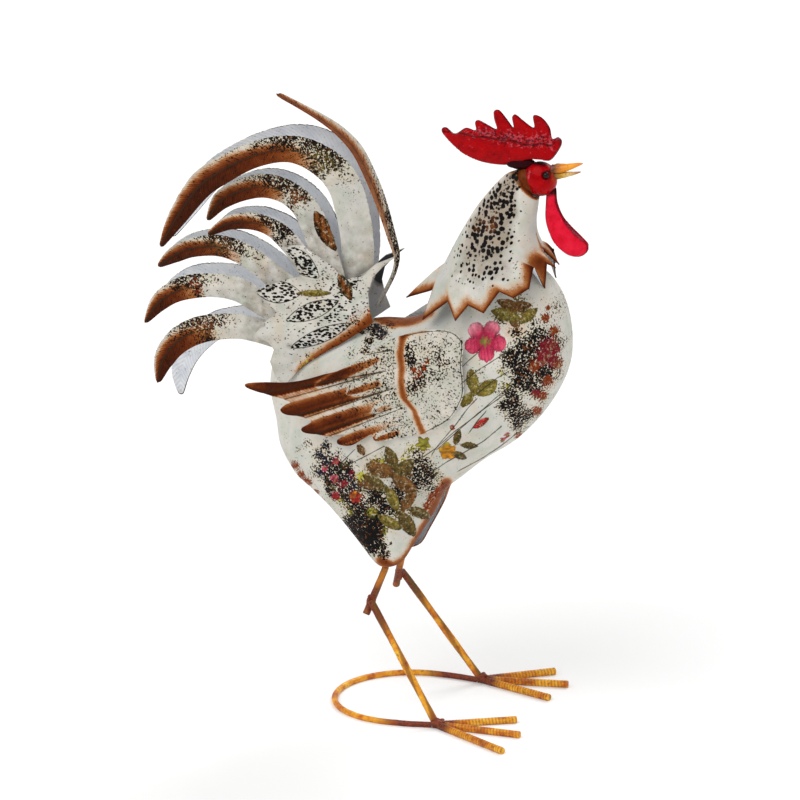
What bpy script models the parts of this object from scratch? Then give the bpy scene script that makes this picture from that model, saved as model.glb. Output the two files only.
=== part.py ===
# Metal rooster garden ornament: stamped and painted sheet-metal halves and feathers, a cast head,
# and welded iron rods for the legs, toes and the loop on the ground. The bird looks along +X.
# Metres, +Z up, origin under the middle of the bounding box.

import math

import bmesh
import bpy
from mathutils import Vector
from mathutils.bvhtree import BVHTree

# Driving dimensions, in metres
FIGURE_HEIGHT = 0.503  # ground to the comb's highest tip
SHEET = 0.0012  # painted sheet metal
GAP = 0.0003  # between pieces that touch
ROD_D = 0.006  # legs and toes
LOOP_D = 0.0048  # rod of the ground loop
FOOT_FLAT = 0.0004  # depth of the flat worn under the rods that lie on the ground
STANCE = 0.118  # between the two ankles
LOOP_REACH = 0.102  # ankles to the loop's rear
CHEST_WIDTH = 0.116  # over both body halves
WING_PROUD = 0.002  # a wing's middle, out beyond the body's side
TOE_LENGTH = 0.071  # middle toe
EYE_D = 0.0052

# The free forms are drawn in millimetres for a bird 503 mm tall, X forward and Z up from the
# ankles, and grow and shrink with the height.
DRAWN_HEIGHT = 503.0
UNIT = FIGURE_HEIGHT / DRAWN_HEIGHT
WIDE = CHEST_WIDTH / (116 * UNIT)  # breadth of the body against the drawn one
ROD_R = ROD_D / 2
LOOP_R = LOOP_D / 2
CLEAR = SHEET + 2 * GAP  # from a sheet's outer face to the piece that it lies on
RIGHT, LEFT = -1, 1
SIDES = ((RIGHT, "right"), (LEFT, "left"))

for leftover in list(bpy.data.objects):
    bpy.data.objects.remove(leftover, do_unlink=True)

bird = bpy.data.collections.new("metal rooster ornament")
cutters = bpy.data.collections.new("cutters")
for collection in (bird, cutters):
    bpy.context.scene.collection.children.link(collection)
root = bpy.data.objects.new("root", None)
bird.objects.link(root)
skins = {}  # the outer face of each sheet, for laying others on it


def paint(name, colour, roughness, metallic=0.0):
    material = bpy.data.materials.new(name)
    material.use_nodes = True
    shader = material.node_tree.nodes["Principled BSDF"]
    shader.inputs["Base Color"].default_value = (*colour, 1.0)
    shader.inputs["Roughness"].default_value = roughness
    shader.inputs["Metallic"].default_value = metallic
    material.diffuse_color = (*colour, 1.0)
    return material


WHITE = ("aged white paint", (0.72, 0.69, 0.64), 0.45)
BROWN = ("burnt brown paint", (0.27, 0.10, 0.03), 0.4)
RED = ("red paint", (0.55, 0.005, 0.01), 0.25)
YELLOW = ("beak paint", (0.80, 0.30, 0.02), 0.4)
BLACK = ("eye paint", (0.01, 0.01, 0.01), 0.15)
RUST = ("ochre paint on rusty rod", (0.62, 0.26, 0.03), 0.5)


def finish(obj, colour):
    obj.data.materials.append(paint(f"{obj.name} {colour[0]}", *colour[1:]))
    obj.parent = root
    bird.objects.link(obj)
    return obj


def piece(name, bm, colour, thickness=None, side=None):
    """A mesh object from bm. A sheet is given its thickness on its inner side."""
    bmesh.ops.remove_doubles(bm, verts=bm.verts, dist=1e-6)
    bmesh.ops.recalc_face_normals(bm, faces=bm.faces)
    if side is not None and sum(f.normal.y * f.calc_area() for f in bm.faces) * side < 0:
        bmesh.ops.reverse_faces(bm, faces=bm.faces)
    if thickness:
        skins[name] = BVHTree.FromBMesh(bm)
    mesh = bpy.data.meshes.new(name)
    bm.to_mesh(mesh)
    bm.free()
    obj = finish(bpy.data.objects.new(name, mesh), colour)
    if thickness:
        wall = obj.modifiers.new("sheet", "SOLIDIFY")
        wall.thickness = thickness
        wall.offset = -1.0
    mesh.shade_smooth()
    mesh.set_sharp_from_angle(angle=math.radians(35))
    return obj


def keep_to_side(obj, side):
    """Fixes a shell's wall, and keeps its seam clear of the other half's."""
    graph = bpy.context.evaluated_depsgraph_get()
    mesh = bpy.data.meshes.new_from_object(obj.evaluated_get(graph))
    obj.modifiers.clear()
    obj.data = mesh
    for vert in mesh.vertices:
        vert.co.y = side * max(side * vert.co.y, GAP / 2)
    return obj


def smooth_points(points, steps):
    """A smooth curve through points (Catmull-Rom), with steps points on each stretch."""
    points = [Vector(p) for p in points]
    ends = [2 * points[0] - points[1], *points, 2 * points[-1] - points[-2]]
    curve = []
    for a, b, c, d in zip(ends, ends[1:], ends[2:], ends[3:]):
        for i in range(steps):
            t = i / steps
            curve.append(
                0.5 * (2 * b + (c - a) * t + (2 * a - 5 * b + 4 * c - d) * t * t
                       + (3 * b - a - 3 * c + d) * t ** 3)
            )
    return [*curve, points[-1]]


def between(table, x):
    """Straight-line reading of a table of (x, value) pairs in rising x."""
    if x <= table[0][0]:
        return table[0][1]
    for (x0, y0), (x1, y1) in zip(table, table[1:]):
        if x <= x1:
            return y0 + (y1 - y0) * (x - x0) / (x1 - x0)
    return table[-1][1]


def place(x, y, z, side=1):
    """A drawn point in metres, on the given side of the middle plane."""
    return Vector((x * UNIT, side * y * UNIT, z * UNIT))


def lift_off(point, tree, clearance):
    """Moves a point out until it clears the surface below it."""
    spot, normal, _, _ = tree.find_nearest(point)
    if (point - spot).dot(normal) < clearance:
        return spot + normal * clearance
    return point


def grid_faces(bm, rows):
    """Quads between rows of points. Rows that end in one point give triangles."""
    made = [[bm.verts.new(p) for p in row] for row in rows]
    for upper, lower in zip(made, made[1:]):
        for i in range(len(upper) - 1):
            bm.faces.new((upper[i], upper[i + 1], lower[i + 1], lower[i]))


SHORTEST_EDGE = 1.5  # drawn; points of a plate that are nearer than this are made one


def flat_plate(outline, cuts):
    """A triangulated plate in the middle plane, in drawn units, with an edge along every cut."""
    bm = bmesh.new()
    bm.faces.new([bm.verts.new((x, 0.0, z)) for x, z in outline])
    for (x0, z0), (x1, z1) in cuts:
        bmesh.ops.bisect_plane(
            bm, geom=[*bm.verts, *bm.edges, *bm.faces], dist=0.4,
            plane_co=(x0, 0.0, z0), plane_no=(z1 - z0, 0.0, x0 - x1),
        )
    bmesh.ops.remove_doubles(bm, verts=bm.verts, dist=SHORTEST_EDGE)
    bmesh.ops.triangulate(bm, faces=bm.faces, quad_method="BEAUTY", ngon_method="BEAUTY")
    return bm


def sheet_mesh(outline, cuts, height, side, laid_on):
    """A sheet cut to an outline in side view, creased along cuts, standing height(x, z) from the
    middle plane, and laid over the pieces in laid_on, each with its clearance."""
    bm = flat_plate(outline, cuts)
    for vert in bm.verts:
        point = place(vert.co.x, height(vert.co.x, vert.co.z), vert.co.z, side)
        for tree, clearance in laid_on:
            point = lift_off(point, tree, clearance)
        vert.co = point
    return bm


def lattice(x0, x1, z0, z1, step, slope=0.0):
    """Cutting lines about step apart, across and along, turned by slope."""
    cos, sin = math.cos(slope), math.sin(slope)
    mid = ((x0 + x1) / 2, (z0 + z1) / 2)
    reach = math.hypot(x1 - x0, z1 - z0) / 2
    lines = []
    for i in range(-int(reach / step), int(reach / step) + 1):
        for along, across in (((cos, sin), (-sin, cos)), ((-sin, cos), (cos, sin))):
            foot = (mid[0] + across[0] * i * step, mid[1] + across[1] * i * step)
            lines.append((foot, (foot[0] + along[0], foot[1] + along[1])))
    return lines


# Body: two inflated half shells that meet in the middle plane and part below as thigh flaps.
# Each outline point names the anchor that its side of the shell swells up to.
ANCHORS = {
    "neck": (28, 340, 38), "chest": (38, 298, 54), "heart": (4, 268, 58), "flank": (-42, 246, 56),
    "rump": (-94, 246, 42), "rear": (-128, 250, 25), "hip": (-50, 200, 51),
    "thigh": (-54, 165, 45), "knee": (-53, 139, 37),
}
BODY_OUTLINE = [
    (28, 378, "neck"), (54, 375, "neck"), (72, 367, "neck"), (82, 353, "chest"), (89, 335, "chest"),
    (92, 314, "chest"), (91, 294, "chest"), (84, 274, "chest"), (70, 251, "chest"), (48, 227, "heart"),
    (24, 210, "heart"), (2, 191, "flank"), (-9, 181, "hip"), (-17, 163, "thigh"), (-31, 138, "knee"),
    (-40, 123, "knee"), (-51, 117.5, "knee"), (-62, 120, "knee"), (-79, 137.5, "knee"),
    (-100, 158, "thigh"), (-120, 173, "hip"), (-137, 184, "flank"), (-149, 204, "rump"),
    (-153, 226, "rear"), (-158, 250, "rear"), (-157, 268, "rear"), (-152, 281, "rear"),
    (-132, 295, "rump"), (-104, 307, "rump"), (-70, 316, "flank"), (-46, 318, "flank"),
    (-27, 326, "heart"), (-8, 344, "chest"), (6, 364, "neck"),
]
BODY_STEPS = 2  # points on each stretch of the outline
BODY_RINGS = [0, 24, 46, 68, 90]  # degrees round the swelling, from the rim to the spine
FLAP_TOP, FLAP_BOTTOM, FLAP_GAP = 186, 117.5, 26  # where the halves part, and how far by the bottom


def rim_offset(z):
    """How far a half's edge stands from the middle plane."""
    share = min(max((FLAP_TOP - z) / (FLAP_TOP - FLAP_BOTTOM), 0.0), 1.0)
    return FLAP_GAP * share ** 0.8


def body_half(name, side):
    loop = [*BODY_OUTLINE[-1:], *BODY_OUTLINE, *BODY_OUTLINE[:2]]
    rims, spines = [], []
    for before, start, end, after in zip(loop, loop[1:], loop[2:], loop[3:]):
        stretch = smooth_points([p[:2] for p in (before, start, end, after)], BODY_STEPS)
        first, last = Vector(ANCHORS[start[2]]), Vector(ANCHORS[end[2]])
        for i in range(BODY_STEPS):
            rims.append(stretch[BODY_STEPS + i])
            spines.append(first.lerp(last, i / BODY_STEPS))
    rings = []
    for degrees in BODY_RINGS:
        cos, sin = math.cos(math.radians(degrees)), math.sin(math.radians(degrees))
        ring = []
        for rim, spine in zip(rims, spines):
            x = spine[0] + (rim[0] - spine[0]) * cos
            z = spine[1] + (rim[1] - spine[1]) * cos
            start = rim_offset(rim[1])
            y = start + (spine[2] * WIDE - start) * sin
            point = place(x, y, z, side)
            point.y += side * GAP / 2
            ring.append(point)
        rings.append([*ring, ring[0]])
    bm = bmesh.new()
    grid_faces(bm, rings)
    return keep_to_side(piece(name, bm, WHITE, SHEET, side), side)


for side, word in SIDES:
    body_half(f"body_{word}", side)

# Hackle: the neck's cape, two half tubes that widen over the shoulders and end in pointed locks.
# Each station is (rear x, rear z), (front x, front z), half width.
HACKLE_STATIONS = [
    ((48, 452), (66, 431), 11.6), ((36, 445), (65, 423), 14), ((17, 422), (63.5, 411), 19),
    ((2, 397), (64, 400), 27.5), ((-12, 369), (68, 389), 38),
]
# The lower edge from rear to front: tips and notches in turn.
HACKLE_EDGE = [
    (-20, 3, 356), (-43, 6, 339), (-15, 25, 353), (-20, 35, 331), (5, 47, 352), (14, 55, 339),
    (24, 53, 352), (38, 56, 348), (49, 50, 365), (60, 47, 360), (70, 38, 366), (70, 25, 381),
    (76, 15, 360), (76, 9, 379), (82, 5, 375), (70, 1, 385),
]
HACKLE_ROWS = 3  # rows between the last station and the edge


def hackle_half(name, side):
    columns = len(HACKLE_EDGE)
    rows = []
    for (rear_x, rear_z), (front_x, front_z), half_width in HACKLE_STATIONS:
        row = []
        for j in range(columns):
            turn = math.pi * j / (columns - 1)
            along = (1 - math.cos(turn)) / 2
            row.append((
                rear_x + (front_x - rear_x) * along,
                half_width * WIDE * math.sin(turn),
                rear_z + (front_z - rear_z) * along,
            ))
        rows.append(row)
    last = rows[-1]
    for i in range(1, HACKLE_ROWS + 1):
        share = i / HACKLE_ROWS
        swell = 5 * math.sin(math.pi * share) if i < HACKLE_ROWS else 0
        row = []
        for start, (x, y, z) in zip(last, HACKLE_EDGE):
            out = Vector(start).lerp(Vector((x, y * WIDE, z)), share)
            row.append((out.x, out.y + swell * out.y / 60, out.z + swell * 0.3))
        rows.append(row)
    body_skin = skins[name.replace("hackle", "body")]
    bm = bmesh.new()
    placed = []
    for row in rows:
        line = []
        for j, (x, y, z) in enumerate(row):
            seam = j in (0, columns - 1) and row in rows[:len(HACKLE_STATIONS)]
            point = place(x, 0 if seam else y, z, side)
            point.y += side * GAP / 2
            line.append(point if seam else lift_off(point, body_skin, CLEAR + 2 * GAP))
        placed.append(line)
    grid_faces(bm, placed)
    return keep_to_side(piece(name, bm, WHITE, SHEET, side), side)


for side, word in SIDES:
    hackle_half(f"hackle_{word}", side)

# Head, eyes and beak
HEAD_AT, HEAD_RADII = (67, 0, 446), (14, 11.5, 14)
EYE_AT = (74.5, 452)  # x, z
BEAK_HALF_WIDTH = 5.0


def ball(name, centre, radii, colour, segments, rings):
    bm = bmesh.new()
    bmesh.ops.create_uvsphere(bm, u_segments=segments, v_segments=rings, radius=1.0)
    for vert in bm.verts:
        vert.co = Vector(centre) + Vector([a * b for a, b in zip(vert.co, radii)])
    return piece(name, bm, colour)


def make_cutter(cutter):
    cutter.hide_render = True
    cutter.display_type = "WIRE"
    bird.objects.unlink(cutter)
    cutters.objects.link(cutter)


def cut_by(obj, cutter):
    cut = obj.modifiers.new("clear of " + cutter.name, "BOOLEAN")
    cut.operation = "DIFFERENCE"
    cut.object = cutter


head_centre = place(*HEAD_AT)
head_radii = Vector(HEAD_RADII) * UNIT
head = ball("head", head_centre, head_radii, RED, 20, 14)
for side, word in SIDES:
    eye_x, eye_z = EYE_AT[0] * UNIT, EYE_AT[1] * UNIT
    rest = 1 - ((eye_x - head_centre.x) / head_radii.x) ** 2 - ((eye_z - head_centre.z) / head_radii.z) ** 2
    eye_centre = Vector((eye_x, side * head_radii.y * math.sqrt(rest), eye_z))
    ball(f"eye_{word}", eye_centre, [EYE_D / 2] * 3, BLACK, 12, 8)
    socket = ball(f"eye socket {word}", eye_centre, [EYE_D / 2 + GAP] * 3, BLACK, 12, 8)
    make_cutter(socket)
    cut_by(head, socket)

# Each beak half is a tapering horn: points (x, z) and radii from the base to the tip
BEAK_UPPER = [(76, 454.6, 4.6), (84, 456, 3.8), (91, 458, 2.9), (97, 460.2, 1.8), (102.5, 462, 0.5)]
BEAK_LOWER = [(75, 450.2, 3.3), (84, 450.6, 2.7), (92, 452.4, 1.9), (97, 453.8, 1.2), (101, 455, 0.4)]


def horn(name, line, colour, flat_side):
    """A tapering rod, flattened on its lower or upper side."""
    bm = bmesh.new()
    rows = []
    for x, z, radius in line:
        row = []
        for k in range(12):
            turn = 2 * math.pi * k / 12
            up = math.sin(turn) * radius
            if up * flat_side > 0:
                up *= 0.35
            row.append(place(x, math.cos(turn) * radius * BEAK_HALF_WIDTH / 4.6, z + up))
        rows.append([*row, row[0]])
    grid_faces(bm, rows)
    bmesh.ops.remove_doubles(bm, verts=bm.verts, dist=1e-6)
    bmesh.ops.holes_fill(bm, edges=[e for e in bm.edges if e.is_boundary], sides=12)
    return piece(name, bm, colour)


head_room = ball("head room", head_centre, head_radii + Vector([GAP] * 3), RED, 20, 14)
make_cutter(head_room)
for name, line, flat_side in (("beak_upper", BEAK_UPPER, -1), ("beak_lower", BEAK_LOWER, 1)):
    cut_by(horn(name, line, YELLOW, flat_side), head_room)


def slab(name, outline, cuts, faces, colour):
    """A closed casting from its outline in side view. faces(x, z) gives the distances of its two
    faces from the middle plane."""
    bm = flat_plate(outline, cuts)
    front = list(bm.faces)
    rim = [e for e in bm.edges if e.is_boundary]
    copied = bmesh.ops.duplicate(bm, geom=front)["vert_map"]
    back = {v: copied[v] for v in {v for f in front for v in f.verts}}
    for edge in rim:
        a, b = edge.verts
        bm.faces.new((a, b, back[b], back[a]))
    for near, far in back.items():
        x, z = near.co.x, near.co.z
        near_y, far_y = faces(x, z)
        near.co = place(x, near_y, z)
        far.co = place(x, far_y, z)
    return piece(name, bm, colour)


# Comb: a boat-shaped lower part with a thin serrated blade above its crease
COMB_OUTLINE = [
    (-15, 480), (-14, 475.5), (-5, 467), (5, 460.2), (19, 455.4), (36, 454.6), (48, 457), (58, 461.4),
    (68, 461.8), (76, 462.4), (83.5, 473), (85, 479), (82, 482), (77, 480.4), (75, 489), (69.5, 496),
    (63.5, 498.6), (60.8, 496.6), (61.6, 488), (53, 493), (46.4, 497.5), (43.4, 494.5), (44.6, 486.6),
    (38.5, 494), (32.5, 500), (28.2, 498), (28.8, 491), (30.5, 484), (22, 487.5), (15.5, 490),
    (12.6, 487.5), (13, 481.4), (5, 482.6), (-4, 477), (-11, 481.4),
]
COMB_CREASE_Z, COMB_HALF_THICKNESS, COMB_BLADE = 479.5, 5.2, 1.3
comb_cuts = lattice(-15, 85, 455, 500, 8) + [((0, COMB_CREASE_Z), (1, COMB_CREASE_Z))]
comb_cuts += [((0, COMB_CREASE_Z + 1.6), (1, COMB_CREASE_Z + 1.6))]


def comb_faces(x, z):
    ends = max(0.0, min(1.0, (x + 16) / 26, (86 - x) / 20))
    low = max(0.0, min(1.0, (z - 453) / 18))
    half = COMB_BLADE + (COMB_HALF_THICKNESS - COMB_BLADE) * ends * math.sin(low * math.pi / 2)
    if z > COMB_CREASE_Z + 1:
        half = COMB_BLADE
    return -half, half


slab("comb", COMB_OUTLINE, comb_cuts, comb_faces, RED)

# Wattles: two domed drops side by side under the head
WATTLE_OUTLINE = [
    (73.5, 438), (79.5, 440), (81, 428), (85.5, 417), (93, 408), (101, 401), (106.5, 396), (107, 391),
    (104, 386.6), (98, 384.4), (91, 385.4), (84, 390), (78.5, 396), (74.4, 404), (72, 413), (72, 424),
]
WATTLE_INNER, WATTLE_THICK, WATTLE_DOME = 0.6, 1.8, 3.6  # inner face, rim and dome


def wattle_faces(x, z):
    spread = min(1.0, math.hypot((x - 91) / 15, (z - 399) / 17))
    stem = max(0.0, 1 - abs(x - 77) / 7) * 1.2
    return WATTLE_INNER, WATTLE_INNER + WATTLE_THICK + WATTLE_DOME * math.sqrt(1 - spread ** 2) + stem


for side, word in SIDES:
    wattle = slab(f"wattle_{word}", WATTLE_OUTLINE, lattice(72, 107, 384, 436, 8, math.radians(-45)),
                  lambda x, z, side=side: tuple(side * y for y in wattle_faces(x, z)), RED)
    cut_by(wattle, head_room)

# Tail feathers: strips with a raised midrib. Each is (x, z, width) from the tip to the root.
FAN_FEATHERS = [
    [(-208, 390, 5), (-198, 405, 15), (-182, 415, 18), (-163, 421, 20), (-145, 419, 21),
     (-130, 410, 22), (-119, 394, 24)],
    [(-206, 378, 5), (-190, 388, 12), (-171, 391, 14.5), (-156, 388, 15.5), (-143, 380, 18)],
    [(-249, 347, 5), (-237.5, 356, 13), (-222, 364, 16), (-200, 368, 18), (-180, 364, 19),
     (-160, 353, 20)],
    [(-257, 303, 5), (-248.5, 316.5, 14), (-237, 326.5, 17.5), (-222, 333, 20), (-202, 336, 20),
     (-181, 334, 21)],
    [(-248.5, 253, 6), (-245, 268, 16), (-236.5, 282, 20), (-223, 293, 22), (-205, 300, 22),
     (-183, 303, 21), (-169, 302, 21)],
]
FAN_LEAN = [(12, 8), (13, 10), (14, 9), (15, 21), (15, 17)]  # distance from the middle: root, tip
FAN_SLOTS = [(-91, 352), (-124, 375), (-127, 347), (-161, 334), (-159, 312), (-143.5, 286)]
FAN_BASE = [(-84, 330), (-97, 325), (-108, 318), (-121, 314), (-130, 309), (-139, 297)]
FAN_ROOT_Y, MIDRIB = 14.5, 3.2
FAR_DROOP, FAR_REACH = 12.0, 1.06  # the left lowest feather hangs lower, in degrees, and reaches further
FEATHER_STEPS = 2


def strip_rows(line, y_at, ridge, side, steps=FEATHER_STEPS, across=False):
    """Rows of three points over a feather: one edge, the midrib and the other edge."""
    curve = smooth_points(line, steps)
    rows = []
    for i, point in enumerate(curve):
        ahead = curve[min(i + 1, len(curve) - 1)] - curve[max(i - 1, 0)]
        along = Vector((ahead.x, ahead.y)).normalized()
        half, share = point.z / 2, i / (len(curve) - 1)
        high = ridge * min(1.0, 3 * share + 0.25)
        if across:
            edge_y, out = half, Vector((along.y, -along.x)) * high
            rows.append([
                place(point.x, -edge_y, point.y), place(point.x + out.x, 0, point.y + out.y),
                place(point.x, edge_y, point.y),
            ])
            continue
        normal, y = Vector((-along.y, along.x)) * half, y_at(share)
        rows.append([
            place(point.x + normal.x, y - high / 2, point.y + normal.y, side),
            place(point.x, y + high / 2, point.y, side),
            place(point.x - normal.x, y - high / 2, point.y - normal.y, side),
        ])
    tip = curve[0] + (curve[0] - curve[1]).normalized() * curve[0].z * 0.5
    tip_y = 0 if across else y_at(0)
    rows.insert(0, [place(tip.x, tip_y, tip.y, side)] * 3)
    return rows


def fan_half(name, side, droop):
    bm = bmesh.new()
    chain = []
    for i, line in enumerate(FAN_FEATHERS):
        root_y, tip_y = FAN_LEAN[i]
        line = [tuple(p) for p in line]
        if i == len(FAN_FEATHERS) - 1 and droop:
            hub = Vector(line[-1][:2])
            turned = []
            for x, z, width in line:
                arm = Vector((x, z)) - hub
                far = min(1.0, arm.length / 60)
                turn = math.radians(droop) * far
                arm = Vector((arm.x * math.cos(turn) - arm.y * math.sin(turn),
                              arm.x * math.sin(turn) + arm.y * math.cos(turn)))
                arm *= 1 + (FAR_REACH - 1) * far
                turned.append((hub.x + arm.x, hub.y + arm.y, width))
            line = turned
        rows = strip_rows(line, lambda s, a=tip_y, b=root_y: a + (b - a) * s, MIDRIB, side)
        (ux, uz), (lx, lz) = FAN_SLOTS[i], FAN_SLOTS[i + 1]
        rows.append([
            place(ux, FAN_ROOT_Y, uz, side), place((ux + lx) / 2, FAN_ROOT_Y + 1, (uz + lz) / 2, side),
            place(lx, FAN_ROOT_Y, lz, side),
        ])
        chain.extend(rows[-1] if not chain else rows[-1][1:])
        grid_faces(bm, rows)
    base = []
    for i, (x, z) in enumerate(FAN_BASE):
        base.append(place(x, FAN_ROOT_Y, z, side))
        if i < len(FAN_BASE) - 1:
            nx, nz = FAN_BASE[i + 1]
            base.append(place((x + nx) / 2, FAN_ROOT_Y, (z + nz) / 2, side))
    middle = [a.lerp(b, 0.5) for a, b in zip(chain, base)]
    grid_faces(bm, [chain, middle, base])
    bmesh.ops.remove_doubles(bm, verts=bm.verts, dist=1e-6)
    for vert in bm.verts:
        vert.co = lift_off(vert.co, skins[name.replace("tail_fan", "body")], CLEAR)
    return piece(name, bm, BROWN, SHEET, side)


fan_half("tail_fan_right", RIGHT, 0.0)
fan_half("tail_fan_left", LEFT, FAR_DROOP)

# Long sickles, one each side inside the fan, and one across the middle
SICKLE = [
    (-245, 367, 5), (-233, 389, 15), (-213, 418, 21), (-193, 434, 22), (-169, 448, 21),
    (-143, 456, 22), (-122, 454, 25), (-102, 443, 28), (-91.5, 428.5, 29), (-86.5, 409, 29),
    (-83.5, 388, 28), (-83, 367, 27), (-85, 346, 22), (-86, 332, 15),
]
SICKLE_LEAN = [(0.0, 15), (0.35, 19), (0.6, 17), (0.75, 11.5), (0.88, 8), (1.0, 6.5)]
CENTRE_SICKLE = [
    (-151, 495, 4), (-134, 487.5, 10), (-116, 479, 15), (-100, 469, 19), (-86, 455, 22),
    (-75, 434.5, 23), (-66, 413, 22), (-58, 388, 18), (-53, 370, 13), (-55, 356, 10),
    (-61, 342, 8), (-69, 327, 8),
]
for side, word in SIDES:
    bm = bmesh.new()
    grid_faces(bm, strip_rows(SICKLE, lambda s: between(SICKLE_LEAN, s), MIDRIB, side, steps=1))
    piece(f"sickle_{word}", bm, BROWN, SHEET, side)
bm = bmesh.new()
grid_faces(bm, strip_rows(CENTRE_SICKLE, None, 2.0, 1, steps=1, across=True))
piece("sickle_centre", bm, BROWN, SHEET)

# Coverts: the sheet over the tail's root, with a hooked front tip and short pointed feathers
COVERT_OUTLINE = [
    (-50, 374), (-66, 366.5), (-76, 357), (-85, 350), (-97, 357), (-112, 368), (-128, 375),
    (-143, 375), (-133, 362), (-128, 351), (-141, 347), (-154, 342), (-164, 336), (-156, 329),
    (-146, 321), (-156, 312), (-164, 301), (-152, 297), (-147, 291), (-150, 281), (-145, 269),
    (-137, 263), (-127, 275), (-116, 284), (-104, 293), (-91, 301), (-77, 311), (-65.5, 320),
    (-69, 331), (-71, 344), (-67.5, 356), (-60, 365),
]
COVERT_CUTS = lattice(-165, -50, 262, 376, 13, math.radians(-30))
FEATHER_ROOM = 0.0013  # so that the sheet spans the feathers' midribs without touching them
# Height on the sheet, and its distance from the middle plane
COVERT_SLANT = [(262, 30), (300, 27), (330, 21), (350, 16), (366, 13), (375, 10)]


def covert_height(x, z):
    return between(COVERT_SLANT, z)


for side, word in SIDES:
    below = ((skins[f"body_{word}"], CLEAR + GAP), (skins[f"tail_fan_{word}"], CLEAR + FEATHER_ROOM))
    bm = sheet_mesh(COVERT_OUTLINE, COVERT_CUTS, covert_height, side, below)
    piece(f"covert_{word}", bm, WHITE, SHEET, side)

# Wings: a domed shoulder cap and long separate feathers, stamped as one
WING_OUTLINE = [
    (-14, 329), (5, 332), (16, 329), (21.5, 321), (21, 305), (22.5, 290), (22, 278), (16, 265),
    (9, 256), (-2, 248.5), (-12, 243), (-30, 238), (-48, 233.5), (-53, 234), (-55, 238), (-62, 234),
    (-72, 227.5), (-82, 227), (-84, 230.5), (-78, 236), (-92, 232.5), (-103, 233), (-112, 234),
    (-114, 237.5), (-106, 244), (-118, 246.5), (-128, 247.5), (-132, 251), (-128, 255.5),
    (-124, 258.5), (-140, 261), (-154, 265.5), (-161, 268), (-146, 272.5), (-128, 274),
    (-113, 277.5), (-96, 284), (-79, 291), (-60, 304), (-42, 317), (-29, 323.5),
]
# Feather axes: (tip x, tip z), (root x, root z)
WING_AXES = [
    ((-158, 268), (-28, 305)), ((-130, 251), (-28, 290)), ((-112, 237.5), (-28, 274)),
    ((-82, 229), (-22, 258)), ((-52, 236), (-16, 250)),
]
WING_RIDGE = 2.2
CAP_REAR, CAP_DOME = -30, 4.5  # x of the cap's rear edge, and its height
WING_Y = 58 * WIDE + WING_PROUD / UNIT
wing_cuts = list(WING_AXES)
for upper, lower in zip(WING_AXES, WING_AXES[1:]):
    wing_cuts.append(tuple(
        ((a[0] + b[0]) / 2, (a[1] + b[1]) / 2) for a, b in zip(upper, lower)
    ))
for x in (-142, -124, -106, -88, -70, -52, CAP_REAR - 3, CAP_REAR + 1, -16, -2, 12):
    wing_cuts.append(((x - 4, 240), (x + 3, 330)))


def wing_height(x, z):
    """The wing's own face: feathers as ridges behind the cap, a dome over the shoulder."""
    base = WING_Y - 4 + 0.02 * min(0, x + 60)
    if x > CAP_REAR - 1.5 + (z - 285) * 0.07:
        across = min(1.0, math.hypot((x + 2) / 34, (z - 290) / 48))
        return base + 1.5 + CAP_DOME * (1 - across ** 2)
    nearest = 99.0
    for (tip_x, tip_z), (root_x, root_z) in WING_AXES:
        slope = (root_z - tip_z) / (root_x - tip_x)
        nearest = min(nearest, abs(z - tip_z - slope * (x - tip_x)))
    return base + WING_RIDGE * max(0.0, 1 - nearest / 8)


for side, word in SIDES:
    below = ((skins[f"body_{word}"], CLEAR + GAP),)
    bm = sheet_mesh(WING_OUTLINE, wing_cuts, wing_height, side, below)
    piece(f"wing_{word}", bm, BROWN, SHEET, side)


# Rods: legs, toes and the loop on the ground
def rod(name, points, diameter, as_mesh=False):
    line = bpy.data.curves.new(name, "CURVE")
    line.dimensions = "3D"
    line.bevel_depth = diameter / 2
    line.bevel_resolution = 1
    line.use_fill_caps = True
    spline = line.splines.new("POLY")
    spline.points.add(len(points) - 1)
    for target, point in zip(spline.points, points):
        target.co = (*point, 1.0)
    obj = bpy.data.objects.new(name, line)
    if not as_mesh:
        return finish(obj, RUST)
    bpy.context.scene.collection.objects.link(obj)
    graph = bpy.context.evaluated_depsgraph_get()
    mesh = bpy.data.meshes.new_from_object(obj.evaluated_get(graph))
    bpy.data.objects.remove(obj)
    bm = bmesh.new()
    bm.from_mesh(mesh)
    return piece(name, bm, RUST)


def trim_below(obj, height):
    """Cuts a piece off flat at a height, keeping what is above."""
    bm = bmesh.new()
    bm.from_mesh(obj.data)
    cut = bmesh.ops.bisect_plane(
        bm, geom=[*bm.verts, *bm.edges, *bm.faces], plane_co=(0, 0, height), plane_no=(0, 0, 1),
        clear_inner=True,
    )
    bmesh.ops.edgenet_fill(bm, edges=[e for e in cut["geom_cut"] if isinstance(e, bmesh.types.BMEdge)])
    bmesh.ops.recalc_face_normals(bm, faces=bm.faces)
    bm.to_mesh(obj.data)
    bm.free()


GROUND = FOOT_FLAT - ROD_R  # height of the ground below the toes' middle
THIGH_STUB, THIGH_TURN, THIGH_TOP = (-66, 39, 80), (-55, 22, 115), (-52, 30, 142)
KNEE_Z = 90
LOOP_STEPS = 14
LOOP_BULGE = 0.004  # how far the loop swings out past the ankles
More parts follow.
